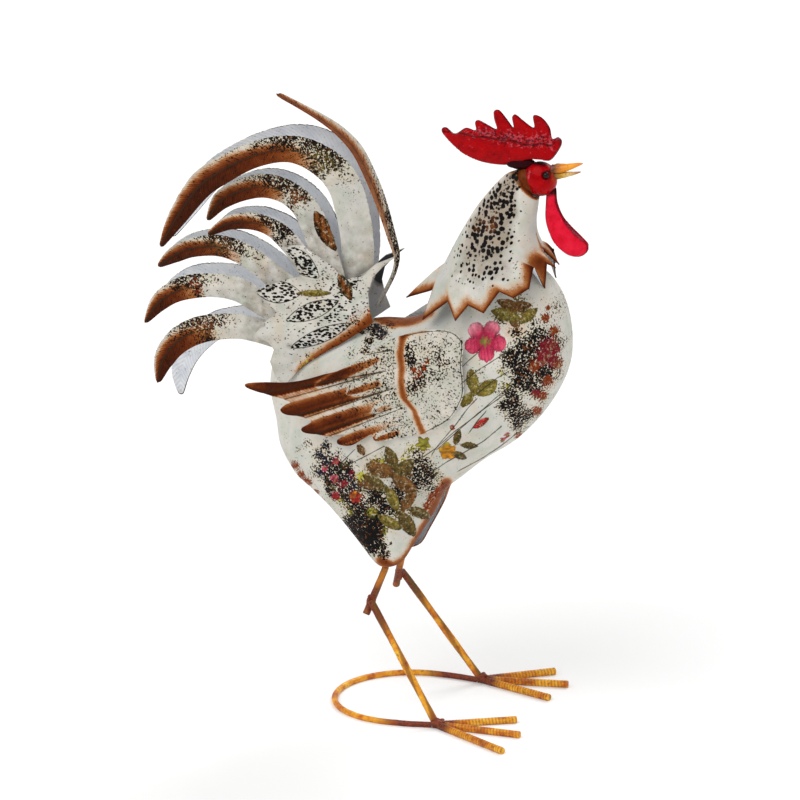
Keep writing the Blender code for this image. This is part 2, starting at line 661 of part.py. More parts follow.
# Each toe's length against the middle one, and its direction in degrees from straight ahead
TOES = {
    "right": {"middle": (1.0, -2.5), "inner": (0.92, 29), "outer": (1.17, -33)},
    "left": {"middle": (1.0, 8), "inner": (1.0, -22), "outer": (0.89, 37)},
}
ankle_y = STANCE / 2
for side, word in SIDES:
    stub, turn = place(*THIGH_STUB, side), place(*THIGH_TURN, side)
    top = place(*THIGH_TOP, side)
    path = [stub, stub.lerp(turn, 0.5), turn]
    path += [turn.lerp(top, 0.33) - Vector((0, side * 0.001, 0)), top]
    rod(f"thigh_rod_{word}", path, ROD_D)
    down = (stub - turn).normalized()
    knee = turn + down * ((turn.z - KNEE_Z * UNIT) / -down.z)
    ankle = Vector((0, side * ankle_y, 0))
    beside = down.cross(ankle - knee).normalized()
    beside *= 1 if beside.x > 0 else -1
    knee += beside * (ROD_D + 2 * GAP)
    shank = rod(f"shank_{word}", [knee, knee.lerp(ankle, 0.5), knee.lerp(ankle, 1.06)], ROD_D, True)
    trim_below(shank, ROD_R + GAP)

    for toe, (length, degrees) in TOES[word].items():
        angle = math.radians(degrees)
        along = Vector((math.cos(angle), math.sin(angle), 0))
        start = ankle - along * ROD_R if toe == "middle" else ankle
        end = ankle + along * TOE_LENGTH * length
        made = rod(f"toe_{word}_{toe}", [start, start.lerp(end, 0.5), end], ROD_D, True)
        if toe == "middle":
            room = rod(f"room round the middle toe {word}", [start - along * GAP, end],
                       ROD_D + 2 * GAP, True)
            make_cutter(room)
        else:
            cut_by(made, room)
        trim_below(made, GROUND)

loop_height = LOOP_R - ROD_R
loop_side = ankle_y + LOOP_BULGE
arc_radius = min(loop_side, LOOP_REACH * 0.6)
loop_points = []
for i in range(LOOP_STEPS + 1):
    turn = math.pi * i / LOOP_STEPS
    x = -(LOOP_REACH - arc_radius) - arc_radius * math.sin(turn)
    loop_points.append(Vector((x, -loop_side * math.cos(turn), loop_height)))
start = Vector((-ROD_R * 1.3 - GAP, -ankle_y, loop_height))
bend = Vector((start.x * 0.5 + loop_points[0].x * 0.5, -ankle_y - LOOP_BULGE * 0.8, loop_height))
points = [start, bend, *loop_points, bend * Vector((1, -1, 1)), start * Vector((1, -1, 1))]
loop = rod("base_loop", points, LOOP_D, True)
trim_below(loop, GROUND)

# The origin goes under the middle of the bounding box
bpy.context.view_layer.update()
graph = bpy.context.evaluated_depsgraph_get()
low, high = Vector([math.inf] * 3), Vector([-math.inf] * 3)
for obj in bird.objects:
    if obj.type == "EMPTY":
        continue
    evaluated = obj.evaluated_get(graph)
    for vert in evaluated.to_mesh().vertices:
        for axis in range(3):
            low[axis] = min(low[axis], vert.co[axis])
            high[axis] = max(high[axis], vert.co[axis])
    evaluated.to_mesh_clear()
root.location = (-(low.x + high.x) / 2, -(low.y + high.y) / 2, -low.z)
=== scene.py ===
# Metal rooster ornament: painted sheet-metal shells and feathers, glossy red comb and head, rusty rods
import math

import bpy
import numpy as np
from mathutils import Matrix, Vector
from mathutils.bvhtree import BVHTree
from mathutils.geometry import delaunay_2d_cdt


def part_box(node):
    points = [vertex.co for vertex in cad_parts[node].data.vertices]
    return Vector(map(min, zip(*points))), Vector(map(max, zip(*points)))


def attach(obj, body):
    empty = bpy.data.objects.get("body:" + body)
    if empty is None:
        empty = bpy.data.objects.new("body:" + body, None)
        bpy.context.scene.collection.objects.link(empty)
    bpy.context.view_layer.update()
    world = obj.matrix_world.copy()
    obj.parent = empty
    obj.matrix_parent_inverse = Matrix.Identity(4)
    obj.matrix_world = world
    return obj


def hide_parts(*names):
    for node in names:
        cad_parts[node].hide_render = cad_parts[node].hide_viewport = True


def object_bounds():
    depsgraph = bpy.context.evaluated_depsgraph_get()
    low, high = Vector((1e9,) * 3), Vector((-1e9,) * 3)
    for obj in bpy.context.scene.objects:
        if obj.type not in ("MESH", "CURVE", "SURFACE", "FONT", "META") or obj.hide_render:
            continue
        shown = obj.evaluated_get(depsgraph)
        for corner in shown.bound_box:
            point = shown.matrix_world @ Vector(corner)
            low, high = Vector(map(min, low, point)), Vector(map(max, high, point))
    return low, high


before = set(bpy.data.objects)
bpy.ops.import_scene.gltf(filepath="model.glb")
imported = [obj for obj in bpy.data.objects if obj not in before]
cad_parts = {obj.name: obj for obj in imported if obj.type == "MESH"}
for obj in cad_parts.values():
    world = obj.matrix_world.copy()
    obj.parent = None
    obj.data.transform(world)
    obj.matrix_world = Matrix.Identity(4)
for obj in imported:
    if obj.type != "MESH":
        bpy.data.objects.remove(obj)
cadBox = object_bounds()

# Pieces are drawn in millimetres from the middle of the ankles: x forward, y to the left, z up
headLow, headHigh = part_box("head")
ankles = (np.array(headLow) + np.array(headHigh)) / 2 - np.array([0.067, 0.0, 0.446])
right, left = -1, 1
sides = ((right, "right"), (left, "left"))
sideWord = dict(sides)
sheetThickness = 1.0
seamGap = 0.15  # from the middle plane to each half
barbPitch, steelPitch = 2.1, 4.2  # between the pressed barbs
skins = {}  # outer faces, for laying other sheets on them


def between(a, b, c, d, t):
    return 0.5 * (2 * b + (c - a) * t + (2 * a - 5 * b + 4 * c - d) * t ** 2 + (3 * b - a - 3 * c + d) * t ** 3)


def smoothLine(points, steps):
    p = np.array(points, float)
    ends = np.vstack([2 * p[0] - p[1], p, 2 * p[-1] - p[-2]])
    t = np.linspace(0, 1, steps, endpoint=False)[:, None]
    runs = [between(a, b, c, d, t) for a, b, c, d in zip(ends, ends[1:], ends[2:], ends[3:])]
    return np.vstack([*runs, p[-1:]])


def near(distance, spread, other=0.0, otherSpread=1.0):
    return np.exp(-(distance / spread) ** 2 - (other / otherSpread) ** 2)


def held(value):
    return np.clip(value, 0, 1)


def readPoints(piece):
    flat = np.empty(len(piece.data.vertices) * 3)
    piece.data.vertices.foreach_get("co", flat)
    return flat.reshape(-1, 3)


def writePoints(piece, x, y, z):
    places = np.stack(np.broadcast_arrays(x, y, z), axis=1) / 1000 + ankles
    piece.data.vertices.foreach_set("co", places.ravel())
    piece.data.update()


def drawnPoints(piece):
    return (readPoints(piece) - ankles) * 1000


def deselectAll():
    if bpy.context.object and bpy.context.object.mode != "OBJECT":
        bpy.ops.object.mode_set(mode="OBJECT")
    bpy.ops.object.select_all(action="DESELECT")


def pick(*pieces):
    deselectAll()
    for piece in pieces:
        piece.select_set(True)
    bpy.context.view_layer.objects.active = pieces[0]


def addGrid(name, along, across):
    deselectAll()
    bpy.ops.mesh.primitive_grid_add(x_subdivisions=along, y_subdivisions=across, size=2)
    piece = bpy.context.object
    piece.name = piece.data.name = name
    flat = readPoints(piece)
    return piece, (flat[:, 0] + 1) / 2, (flat[:, 1] + 1) / 2


def keepField(piece, name, values):
    field = piece.data.attributes.new(name, "FLOAT", "POINT")
    field.data.foreach_set("value", np.asarray(values, np.float32))


def applyModifiers(piece):
    pick(piece)
    for modifier in list(piece.modifiers):
        bpy.ops.object.modifier_apply(modifier=modifier.name)


def mergeNear(piece, distance=1e-6):
    pick(piece)
    bpy.ops.object.mode_set(mode="EDIT")
    bpy.ops.mesh.select_all(action="SELECT")
    bpy.ops.mesh.remove_doubles(threshold=distance)
    bpy.ops.mesh.normals_make_consistent(inside=False)
    bpy.ops.object.mode_set(mode="OBJECT")


def faceOut(piece, side):
    normals = np.empty(len(piece.data.polygons) * 3)
    piece.data.polygons.foreach_get("normal", normals)
    areas = np.empty(len(piece.data.polygons))
    piece.data.polygons.foreach_get("area", areas)
    if (normals.reshape(-1, 3)[:, 1] * areas).sum() * side < 0:
        pick(piece)
        bpy.ops.object.mode_set(mode="EDIT")
        bpy.ops.mesh.select_all(action="SELECT")
        bpy.ops.mesh.flip_normals()
        bpy.ops.object.mode_set(mode="OBJECT")


def skinOf(piece):
    mesh = piece.data
    return BVHTree.FromPolygons([v.co for v in mesh.vertices], [tuple(p.vertices) for p in mesh.polygons])


def liftOff(piece, skin, clearance):
    for vertex in piece.data.vertices:
        spot, normal, _, _ = skin.find_nearest(vertex.co)
        if (vertex.co - spot).dot(normal) < clearance / 1000:
            vertex.co = spot + normal * clearance / 1000
    piece.data.update()


def domed(x, z, middle, reach):
    return np.minimum(1, np.hypot((x - middle[0]) / reach[0], (z - middle[1]) / reach[1]))


def smoothInside(piece, repeat, factor=0.5):
    inner = piece.vertex_groups.new(name="inner")
    counts = np.zeros(len(piece.data.edges), int)
    loopEdges = np.empty(len(piece.data.loops), int)
    piece.data.loops.foreach_get("edge_index", loopEdges)
    np.add.at(counts, loopEdges, 1)
    rim = {v for edge, count in zip(piece.data.edges, counts) if count < 2 for v in edge.vertices}
    inner.add([v.index for v in piece.data.vertices if v.index not in rim], 1.0, "REPLACE")
    smooth = piece.modifiers.new("soften", "SMOOTH")
    smooth.factor, smooth.iterations, smooth.vertex_group = factor, repeat, "inner"
    applyModifiers(piece)
    piece.vertex_groups.clear()


def giveThickness(piece):
    coat(piece, enamel, steel)
    wall = piece.modifiers.new("sheet", "SOLIDIFY")
    wall.thickness, wall.offset = sheetThickness / 1000, -1
    wall.material_offset = 1
    wall.material_offset_rim = 0
    applyModifiers(piece)


def shadeSoft(piece, angle=50):
    pick(piece)
    bpy.ops.object.shade_smooth_by_angle(angle=math.radians(angle))


def join(name, *pieces):
    pick(*pieces)
    bpy.ops.object.join()
    bpy.context.object.name = bpy.context.object.data.name = name
    return bpy.context.object


def setUp(piece, slot, *nodes):
    inside = np.clip(readPoints(piece), *np.array(cadBox))
    piece.data.vertices.foreach_set("co", inside.ravel())
    piece.data.update()
    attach(piece, "root")
    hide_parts(*nodes)


def outlineDistance(x, z, outline):
    a, b = outline, np.roll(outline, -1, axis=0)
    d = b - a
    inside = np.zeros(len(x), bool)
    nearest = np.full(len(x), 1e9)
    for (ax, az), (bx, bz), (dx, dz) in zip(a, b, d):
        share = held(((x - ax) * dx + (z - az) * dz) / (dx * dx + dz * dz))
        nearest = np.minimum(nearest, np.hypot(x - ax - share * dx, z - az - share * dz))
        if az != bz:
            crosses = ((az > z) != (bz > z)) & (x < ax + (z - az) * dx / (bz - az))
            inside ^= crosses
    return np.where(inside, nearest, -nearest)


def evenly(outline, spacing):
    loop = np.vstack([outline, outline[:1]])
    points = []
    for start, end in zip(loop, loop[1:]):
        count = max(1, round(float(np.hypot(*(end - start))) / spacing))
        points.extend(start + (end - start) * i / count for i in range(count))
    return np.array(points)


def fillOutline(name, outline, spacing):
    outline = evenly(np.array(outline, float), spacing)
    low, high = outline.min(axis=0), outline.max(axis=0)
    rows = np.arange(low[1], high[1], spacing * 0.866)
    columns = np.arange(low[0], high[0], spacing)
    dots = np.array([(x + (spacing / 2 if k % 2 else 0), z) for k, z in enumerate(rows) for x in columns])
    dots = dots[outlineDistance(dots[:, 0], dots[:, 1], outline) > spacing * 0.6]
    points = np.vstack([outline, dots])
    count = len(outline)
    rim = [(i, (i + 1) % count) for i in range(count)]
    found = delaunay_2d_cdt([Vector(p) for p in points], rim, [], 1, 1e-5)
    mesh = bpy.data.meshes.new(name)
    mesh.from_pydata([(p.x, 0.0, p.y) for p in found[0]], [], found[2])
    piece = bpy.data.objects.new(name, mesh)
    bpy.context.scene.collection.objects.link(piece)
    flat = readPoints(piece)
    x, z = flat[:, 0], flat[:, 2]
    return piece, x, z, np.maximum(outlineDistance(x, z, outline), 0)


# Decoration, laid on from the side like a transfer: places are millimetres across and up from the
# ankles, seen from a little in front and above
paints = {  # screen colours, 0 to 255
    "black": (18, 15, 15), "blue": (30, 32, 50), "amber": (112, 62, 24), "rust": (128, 46, 14),
    "rose": (120, 16, 40), "olive": (96, 84, 36), "yellow": (176, 168, 60), "brown": (104, 72, 40),
    "dark": (84, 74, 38), "leaf": (116, 108, 48), "red": (168, 34, 40), "petal": (208, 48, 92),
    "paleRose": (236, 158, 178), "heart": (112, 112, 50), "orange": (226, 150, 40), "soot": (28, 16, 9),
}
transferTurn, transferTilt = math.radians(18), math.radians(17.8)


def linear(colour):
    share = np.array(colour, float) / 255
    return np.where(share <= 0.04045, share / 12.92, ((share + 0.055) / 1.055) ** 2.4)


def onTransfer(piece, side):
    x, y, z = drawnPoints(piece).T
    y = -side * y
    across = x * math.cos(transferTurn) + y * math.sin(transferTurn)
    back = -x * math.sin(transferTurn) + y * math.cos(transferTurn)
    return across, back * math.sin(transferTilt) + z * math.cos(transferTilt)


def lineDistance(a, b, line):
    best = np.full(len(a), 99.0)
    for (ax, ay), (bx, by) in zip(line, line[1:]):
        dx, dy = bx - ax, by - ay
        share = held(((a - ax) * dx + (b - ay) * dy) / (dx * dx + dy * dy))
        away = np.hypot(a - ax - share * dx, b - ay - share * dy)
        best = np.where(away < np.abs(best), away * np.where((a - ax) * dy > (b - ay) * dx, 1, -1), best)
    return best


def leafDistance(a, b, tip, root, width, fullness=0.8, middle=1.0):
    dx, dy = root[0] - tip[0], root[1] - tip[1]
    length = math.hypot(dx, dy)
    t = ((a - tip[0]) * dx + (b - tip[1]) * dy) / length ** 2
    s = ((b - tip[1]) * dx - (a - tip[0]) * dy) / length
    half = width / 2 * np.sin(math.pi * held(t) ** middle) ** fullness
    beyond = np.maximum(np.maximum(-t, t - 1), 0) * length
    return np.abs(s) - half + beyond, t, s


def sprinkle(a, b, spots):
    density, tint, weight = np.zeros(len(a)), np.zeros((len(a), 3)), np.full((len(a), 1), 1e-9)
    tint += 1e-9 * linear(paints["black"])
    for paint, rows in spots.items():
        for x, y, radius, strength in rows:
            bump = strength * np.exp(-((a - x) ** 2 + (b - y) ** 2) / radius ** 2)
            density += bump
            share = (bump ** 3 + 1e-12)[:, None]
            tint += share * linear(paints[paint])
            weight += share
    return density, tint / weight


class Motifs:
    def __init__(self, a, b):
        self.a, self.b = a, b
        self.cover = np.full(len(a), -9.0)
        self.colour = np.zeros((len(a), 3))
        self.worn = np.ones(len(a))

    def lay(self, distance, colour, worn=1.0):
        wins = -distance > self.cover
        self.cover = np.where(wins, -distance, self.cover)
        self.colour = np.where(wins[:, None], colour, self.colour)
        self.worn = np.where(wins, worn, self.worn)

    def inlay(self, distance, colour):
        self.colour = np.where((distance < 0)[:, None], colour, self.colour)
        self.cover = np.maximum(self.cover, -distance)

    def stain(self, paint, x, y, radius):
        ragged = 0.22 * radius * np.sin(np.arctan2(self.b - y, self.a - x) * 5 + x)
        self.lay(np.hypot(self.a - x, self.b - y) - radius - ragged, linear(paints[paint]))

    def diamond(self, paint, tip, root, width):
        self.lay(leafDistance(self.a, self.b, tip, root, width + 6)[0], linear(paints["soot"]))
        distance, t, s = leafDistance(self.a, self.b, tip, root, width)
        self.inlay(distance, linear(paints[paint]) * (0.9 + 0.7 * np.sin(t * 19 + s * 1.3))[:, None])

    def leaf(self, paint, tip, root, width):
        distance, t, s = leafDistance(self.a, self.b, tip, root, width)
        shade = np.where(s > 0, 1.3, 0.75) * (1.1 - 0.55 * near(s, 0.5)) + 0.25 * np.sin(t * 26 + np.abs(s))
        shade *= 0.4 + 0.6 * held(-distance / 1.1)
        self.lay(distance, linear(paints[paint]) * np.clip(shade, 0.25, 1.6)[:, None])

    def blossom(self, centre, length, width, turn=0, count=5, paint="petal", pale="paleRose", heart=1.7):
        angles = [math.radians(turn) + 2 * math.pi * k / count for k in range(count)]
        petals = []
        for angle in angles:
            tip = (centre[0] + length * math.cos(angle), centre[1] + length * math.sin(angle))
            petals.append(leafDistance(self.a, self.b, tip, centre, width, 0.75, 0.62))
        order = np.sort([p[0] for p in petals], axis=0)
        apart = 0.4 + 0.6 * held((order[1] - order[0]) / 1.5)
        for angle, (distance, t, s) in zip(angles, petals):
            light = held((0.62 - t) * 1.9) * (0.15 + 0.85 * max(0, math.sin(angle - 0.3)))
            streak = (0.82 + 0.18 * np.cos(s * 2.4)) * (0.32 + 0.68 * held(-distance / 1.3)) * apart
            colour = linear(paints[paint]) + (linear(paints[pale]) - linear(paints[paint])) * light[:, None]
            self.lay(distance, colour * (streak * np.clip(1.25 - t * 0.7, 0.5, 1.2))[:, None], worn=0.15)
        away = np.hypot(self.a - centre[0], self.b - centre[1])
        self.lay(away - heart * 1.6, linear(paints[paint]) * 0.6, worn=0.15)
        angle = np.arctan2(self.b - centre[1], self.a - centre[0])
        star = away - heart * (1 + 0.6 * np.cos(count * (angle - math.radians(turn))))
        self.inlay(star, linear(paints["heart"]) * np.where(away < heart * 0.5, 1.7, 0.9)[:, None])


stemFields = (("stem", "stemNear"), ("twig", "twigNear"), ("vine", "vineNear"))
fieldNames = {
    "brown": 0, "speck": 0, "dots": 0, "dashes": 0, "barb": 0, "barbs": 0, "stem": 9, "stemNear": 0,
    "twig": 9, "twigNear": 9, "vine": 9, "vineNear": 9, "cover": -9, "worn": 1, "grime": 0, "shadow": 0,
}


def keepFields(piece, speckColour=None, coverColour=None, **fields):
    count = len(piece.data.vertices)
    for name, plain in fieldNames.items():
        keepField(piece, name, np.broadcast_to(fields.get(name, plain), count))
    for name, colour in (("speckColour", speckColour), ("coverColour", coverColour)):
        colour = linear(paints["soot"]) if colour is None else colour
        layer = piece.data.color_attributes.new(name, "FLOAT_COLOR", "POINT")
        rgba = np.concatenate([np.broadcast_to(colour, (count, 3)), np.ones((count, 1))], axis=1)
        layer.data.foreach_set("color", rgba.astype(np.float32).ravel())


# Paints and metals, all in object coordinates (metres) and the fields kept above
class Paint:
    def __init__(self, name):
        self.material = bpy.data.materials.new(name)
        self.material.use_nodes = True
        self.nodes, self.links = self.material.node_tree.nodes, self.material.node_tree.links
        self.shader = self.nodes["Principled BSDF"]
        self.place = self.put("TexCoord", out="Object")

    def put(self, kind, inputs=None, out=0, **settings):
        node = self.nodes.new("ShaderNode" + kind)
        for name, value in settings.items():
            setattr(node, name, value)
        for name, value in (inputs or {}).items():
            self.plug(node.inputs[name], value)
        return node.outputs[out]

    def plug(self, socket, value):
        if isinstance(value, bpy.types.NodeSocket):
            self.links.new(value, socket)
        elif isinstance(value, (int, float)):
            socket.default_value = float(value)
        else:
            alpha = (1,) * (len(socket.default_value) - len(value))
            socket.default_value = (*value, *alpha)

    def math(self, how, a, b=0.0, c=0.0, clamp=False):
        return self.put("Math", {0: a, 1: b, 2: c}, operation=how, use_clamp=clamp)

    def times(self, a, b):
        return self.math("MULTIPLY", a, b)

    def scaled(self, a, b, c):
        return self.math("MULTIPLY_ADD", a, b, c)

    def step(self, value, middle, width):
        low = self.math("SUBTRACT", value, middle)
        return self.math("MULTIPLY_ADD", low, 1 / width, 0.5, clamp=True)

    def noise(self, scale, detail=3, rough=0.55, bend=0.0, at=None):
        return self.put("TexNoise", {"Vector": at or self.place, "Scale": scale, "Detail": detail,
                                     "Roughness": rough, "Distortion": bend})

    def cells(self, scale, loose=1.0, at=None, feature="F1"):
        return self.put("TexVoronoi", {"Vector": at or self.place, "Scale": scale, "Randomness": loose},
                        feature=feature)

    def stretch(self, scale, turn=(0, 0, 0)):
        turn = [math.radians(t) for t in turn]
        return self.put("Mapping", {"Vector": self.place, "Scale": scale, "Rotation": turn})

    def field(self, name, out="Fac"):
        return self.put("Attribute", out=out, attribute_name=name)

    def ramp(self, value, *stops):
        node = self.put("ValToRGB", {"Fac": value}).node
        while len(node.color_ramp.elements) < len(stops):
            node.color_ramp.elements.new(1.0)
        for element, (at, colour) in zip(node.color_ramp.elements, stops):
            element.position = at
            element.color = (*linear(colour), 1)
        return node.outputs[0]

    def mix(self, share, a, b, blend="MIX"):
        inputs = {0: share, 6: self.shade(a), 7: self.shade(b)}
        return self.put("Mix", inputs, out=2, data_type="RGBA", blend_type=blend)

    def shade(self, colour):
        return colour if isinstance(colour, bpy.types.NodeSocket) else (*linear(colour), 1)

    def relief(self, height, depth, strength=1.0, over=None):
        inputs = {"Height": height, "Distance": depth / 1000, "Strength": strength}
        if over:
            inputs["Normal"] = over
        return self.put("Bump", inputs)

    def finish(self, colour, rough, normal, **fixed):
        for name, value in (("Base Color", colour), ("Roughness", rough), ("Normal", normal)):
            self.plug(self.shader.inputs[name], value)
        for name, value in fixed.items():
            self.plug(self.shader.inputs[name.replace("_", " ")], value)  # fixed values stay on the socket
        return self.material


def enamelPaint():
    p = Paint("white_and_burnt_enamel")
    fine, mid, wide = p.noise(640, 2, 0.6), p.noise(120, 4), p.noise(24, 3)
    colour = p.ramp(wide, (0.3, (188, 189, 184)), (0.48, (203, 200, 192)), (0.7, (211, 205, 195)))
    cloudy = p.scaled(mid, 0.5, -0.25)
    colour = p.mix(p.times(p.step(p.noise(60, 4, 0.6, 0.5), 0.56, 0.2), 0.5), colour, (174, 184, 168))
    colour = p.mix(p.times(p.step(p.noise(34, 4, 0.6, 0.8), 0.6, 0.16), 0.4), colour, (198, 178, 150))
    colour = p.mix(p.times(p.step(p.field("speck"), 0.65, 0.7), 0.45), colour, (206, 192, 160))
    # painted shade and dirt: a patchy grey-brown darkening, laid where a piece asks for shade or dirt
    colour = p.mix(p.times(p.field("grime"), p.step(mid, 0.45, 0.3)), colour, (112, 98, 84))
    # airbrushed browns, from tan to nearly black, streaked along the barbs
    phase = p.scaled(p.noise(160, 3), 1.4, p.field("barb"))
    wave = p.math("SINE", p.times(phase, 2 * math.pi / barbPitch))
    barbs = p.times(wave, p.field("barbs"))
    along = p.put("CombineXYZ", {"X": p.times(phase, 0.85), "Y": p.times(p.field("stem"), 0.13)})
    streak = p.noise(1.0, 2, 0.6, at=along)
    grain = p.scaled(p.noise(900, 2, 0.7), 0.36, -0.18)
    burnt = p.math("ADD", p.math("ADD", p.field("brown"), cloudy), grain)
    striped = p.scaled(barbs, 0.06, burnt)
    striped = p.math("ADD", striped, p.times(p.field("barbs"), p.scaled(streak, 0.6, -0.3)))
    browns = p.ramp(p.math("DIVIDE", striped, 1.5), (0.12, (208, 170, 128)), (0.3, (166, 108, 60)),
                    (0.48, (130, 68, 28)), (0.68, (94, 38, 9)), (0.88, (62, 23, 5)))
    colour = p.mix(p.step(striped, 0.3, 0.42), colour, browns)
    # net of small dots, and dashes in rows on the coverts
    flat = p.stretch((1, 0, 1))
    ragged = p.scaled(fine, 0.5, -0.25)
    net = p.math("ADD", p.times(p.field("dots"), 0.56), p.times(ragged, 0.8))
    dot = p.step(p.math("SUBTRACT", net, p.cells(285, 0.62, flat)), 0.0, 0.08)
    dot = p.times(dot, p.step(p.field("dots"), 0.08, 0.1))
    haze = p.times(p.step(p.scaled(mid, 0.5, p.field("dots")), 0.95, 0.5), 0.6)
    colour = p.mix(haze, colour, (116, 88, 58))
    ink = p.mix(p.step(p.noise(300, 2), 0.44, 0.2), (12, 9, 9), p.field("speckColour", "Color"))
    colour = p.mix(dot, colour, ink)
    tilted = p.stretch((300, 0, 560), (0, 24, 0))
    dash = p.math("SUBTRACT", p.math("ADD", p.times(p.field("dashes"), 0.62), ragged),
                  p.cells(1.0, 0.85, tilted))
    colour = p.mix(p.step(dash, 0.0, 0.1), colour, (20, 15, 13))
    # chips and spatter, thick where the density is high
    bar = p.scaled(p.field("speck"), -0.21, 0.685)
    clump = p.math("ADD", p.times(fine, 0.78), p.times(mid, 0.22))
    clump = p.scaled(p.times(p.field("barbs"), p.math("SUBTRACT", streak, 0.5)), 0.8, clump)
    chip = p.step(p.math("SUBTRACT", clump, bar), 0.0, 0.025)
    soot = p.mix(p.step(p.noise(430, 2), 0.47, 0.08), (14, 11, 11), p.field("speckColour", "Color"))
    soot = p.mix(p.step(p.noise(360, 2), 0.62, 0.05), soot, (96, 56, 24))
    colour = p.mix(chip, colour, soot)
    # painted leaves and petals, then their fine dark lines
    torn = p.scaled(fine, 1.8, p.field("cover"))
    laid = p.step(torn, 0.9, 0.5)
    rubbed = p.field("worn")
    petals = p.mix(p.scaled(rubbed, 0.35, 0.2), p.field("coverColour", "Color"),
                   p.ramp(fine, (0.35, (44, 36, 30)), (0.62, (214, 200, 180))), "OVERLAY")
    patchy = p.times(p.step(p.noise(330, 4, 0.7), 0.55, 0.12), p.times(rubbed, 0.5))
    petals = p.mix(patchy, petals, (112, 74, 34))
    patchy = p.times(p.step(p.noise(410, 3, 0.7), 0.6, 0.1), p.times(rubbed, 0.45))
    petals = p.mix(patchy, petals, (206, 200, 164))
    colour = p.mix(laid, colour, petals)
    for line, reach in stemFields:
        thin = p.math("SUBTRACT", p.times(mid, 0.8), p.math("ABSOLUTE", p.field(line)))
        thin = p.times(p.step(thin, 0.0, 0.3), p.step(p.field(reach), 1.25, -0.3))
        colour = p.mix(p.times(thin, 0.88), colour, (46, 44, 30))
    worn = p.step(p.noise(170, 5, 0.7), 0.7, 0.05)
    colour = p.mix(p.times(worn, 0.35), colour, (120, 104, 84))
    rough = p.scaled(mid, 0.24, 0.3)
    rough = p.scaled(chip, 0.15, p.scaled(worn, 0.15, rough))
    normal = p.relief(p.noise(48, 2), 1.2, 0.6)
    normal = p.relief(p.scaled(chip, -0.5, p.times(fine, 0.7)), 0.16, 0.8, normal)
    normal = p.relief(barbs, 0.22, 0.8, normal)
    return p.finish(colour, rough, normal, Specular_IOR_Level=0.05)


def innerSteel():
    p = Paint("grey_inner_metal")
    mid, fine = p.noise(80, 4), p.noise(520, 3)
    colour = p.ramp(mid, (0.3, (208, 211, 217)), (0.5, (224, 226, 229)), (0.72, (236, 236, 235)))
    wave = p.math("SINE", p.times(p.scaled(mid, 1.4, p.field("barb")), 2 * math.pi / steelPitch))
    lines = p.times(wave, p.field("barbs"))
    colour = p.mix(p.scaled(lines, 0.13, 0.14), colour, (134, 140, 152))
    colour = p.mix(p.step(p.scaled(mid, 0.4, p.field("shadow")), 0.7, 0.5), colour, (52, 56, 64))
    colour = p.mix(p.times(p.step(fine, 0.66, 0.05), 0.6), colour, (104, 80, 62))
    rough = p.scaled(mid, 0.25, 0.32)
    normal = p.relief(fine, 0.15, 0.6, p.relief(lines, 0.14, 0.7))
    return p.finish(colour, rough, normal, Metallic=0.15)


def redEnamel(name, cracked, *stops):
    p = Paint(name)
    mid, fine = p.noise(120, 4), p.noise(600, 3)
    colour = p.ramp(mid, *stops)
    # painted shade: darker maroon along the rims of the red pieces, and round the underside of the head
    rim = p.math("SUBTRACT", 1.0, p.step(p.scaled(mid, 1.2, p.field("edge")), 1.3, 0.9))
    colour = p.mix(p.times(rim, p.field("rimmed")), colour, (70, 3, 16))
    # pale pink marks: on the comb, worn paint and a painted highlight in a band above the crease; on the head,
    # a painted highlight
    pale = p.step(p.scaled(p.field("pale"), 0.22, p.noise(300, 4, 0.75)), 0.68, 0.08)
    colour = p.mix(p.times(pale, 0.42), colour, (212, 104, 116))
    dim = p.step(p.scaled(p.field("pale"), 0.2, p.noise(420, 3, 0.6)), 0.7, 0.05)
    colour = p.mix(p.times(dim, 0.8), colour, (58, 4, 18))
    colour = p.mix(p.times(p.field("ochre"), p.step(mid, 0.45, 0.2)), colour, (170, 96, 40))
    # painted shade: near-black red where a red piece asks for it, such as under the comb, in its crease and at
    # the head's top and back
    colour = p.mix(p.step(p.scaled(fine, 0.6, p.field("soot")), 0.8, 0.45), colour, (24, 4, 8))
    colour = p.mix(p.times(p.step(p.noise(240, 4, 0.7), 0.68, 0.05), 0.55 * cracked), colour, (90, 4, 10))
    cracks = p.step(p.noise(190, 4, 0.75, 1.5), 0.63, 0.04)
    colour = p.mix(p.times(cracks, 0.6 * cracked), colour, (62, 2, 10))
    rough = p.scaled(p.field("soot"), 0.4, p.scaled(mid, 0.2, 0.18))
    normal = p.relief(p.noise(130, 3), 1.3, 0.6)
    normal = p.relief(p.cells(330, 1.0, feature="SMOOTH_F1"), 0.3, 0.7, normal)
    return p.finish(colour, rough, normal, Specular_IOR_Level=0.24, Specular_Tint=(1, 0.12, 0.12),
                    Coat_Weight=0.04, Coat_Roughness=0.08)


def beakPaint(name, root, tip, *stops):
    p = Paint(name)
    mid, fine = p.noise(140, 4), p.noise(700, 3)
    ahead = p.put("SeparateXYZ", {"Vector": p.place}, out="X")
    share = p.put("MapRange", {"Value": ahead, "From Min": root, "From Max": tip})
    share = p.scaled(mid, 0.3, p.math("ADD", share, -0.15))
    colour = p.ramp(share, *stops)
    colour = p.mix(p.times(p.step(fine, 0.6, 0.06), 0.45), colour, (110, 60, 20))
    return p.finish(colour, p.scaled(mid, 0.25, 0.2), p.relief(fine, 0.15, 0.6), Specular_IOR_Level=0.35)


def eyePaint():
    p = Paint("black_eye_enamel")
    mid = p.noise(260, 3)
    colour = p.ramp(mid, (0.35, (2, 2, 3)), (0.7, (12, 8, 10)))
    return p.finish(colour, p.scaled(mid, 0.12, 0.1), p.relief(mid, 0.1, 0.4), Specular_IOR_Level=0.25)


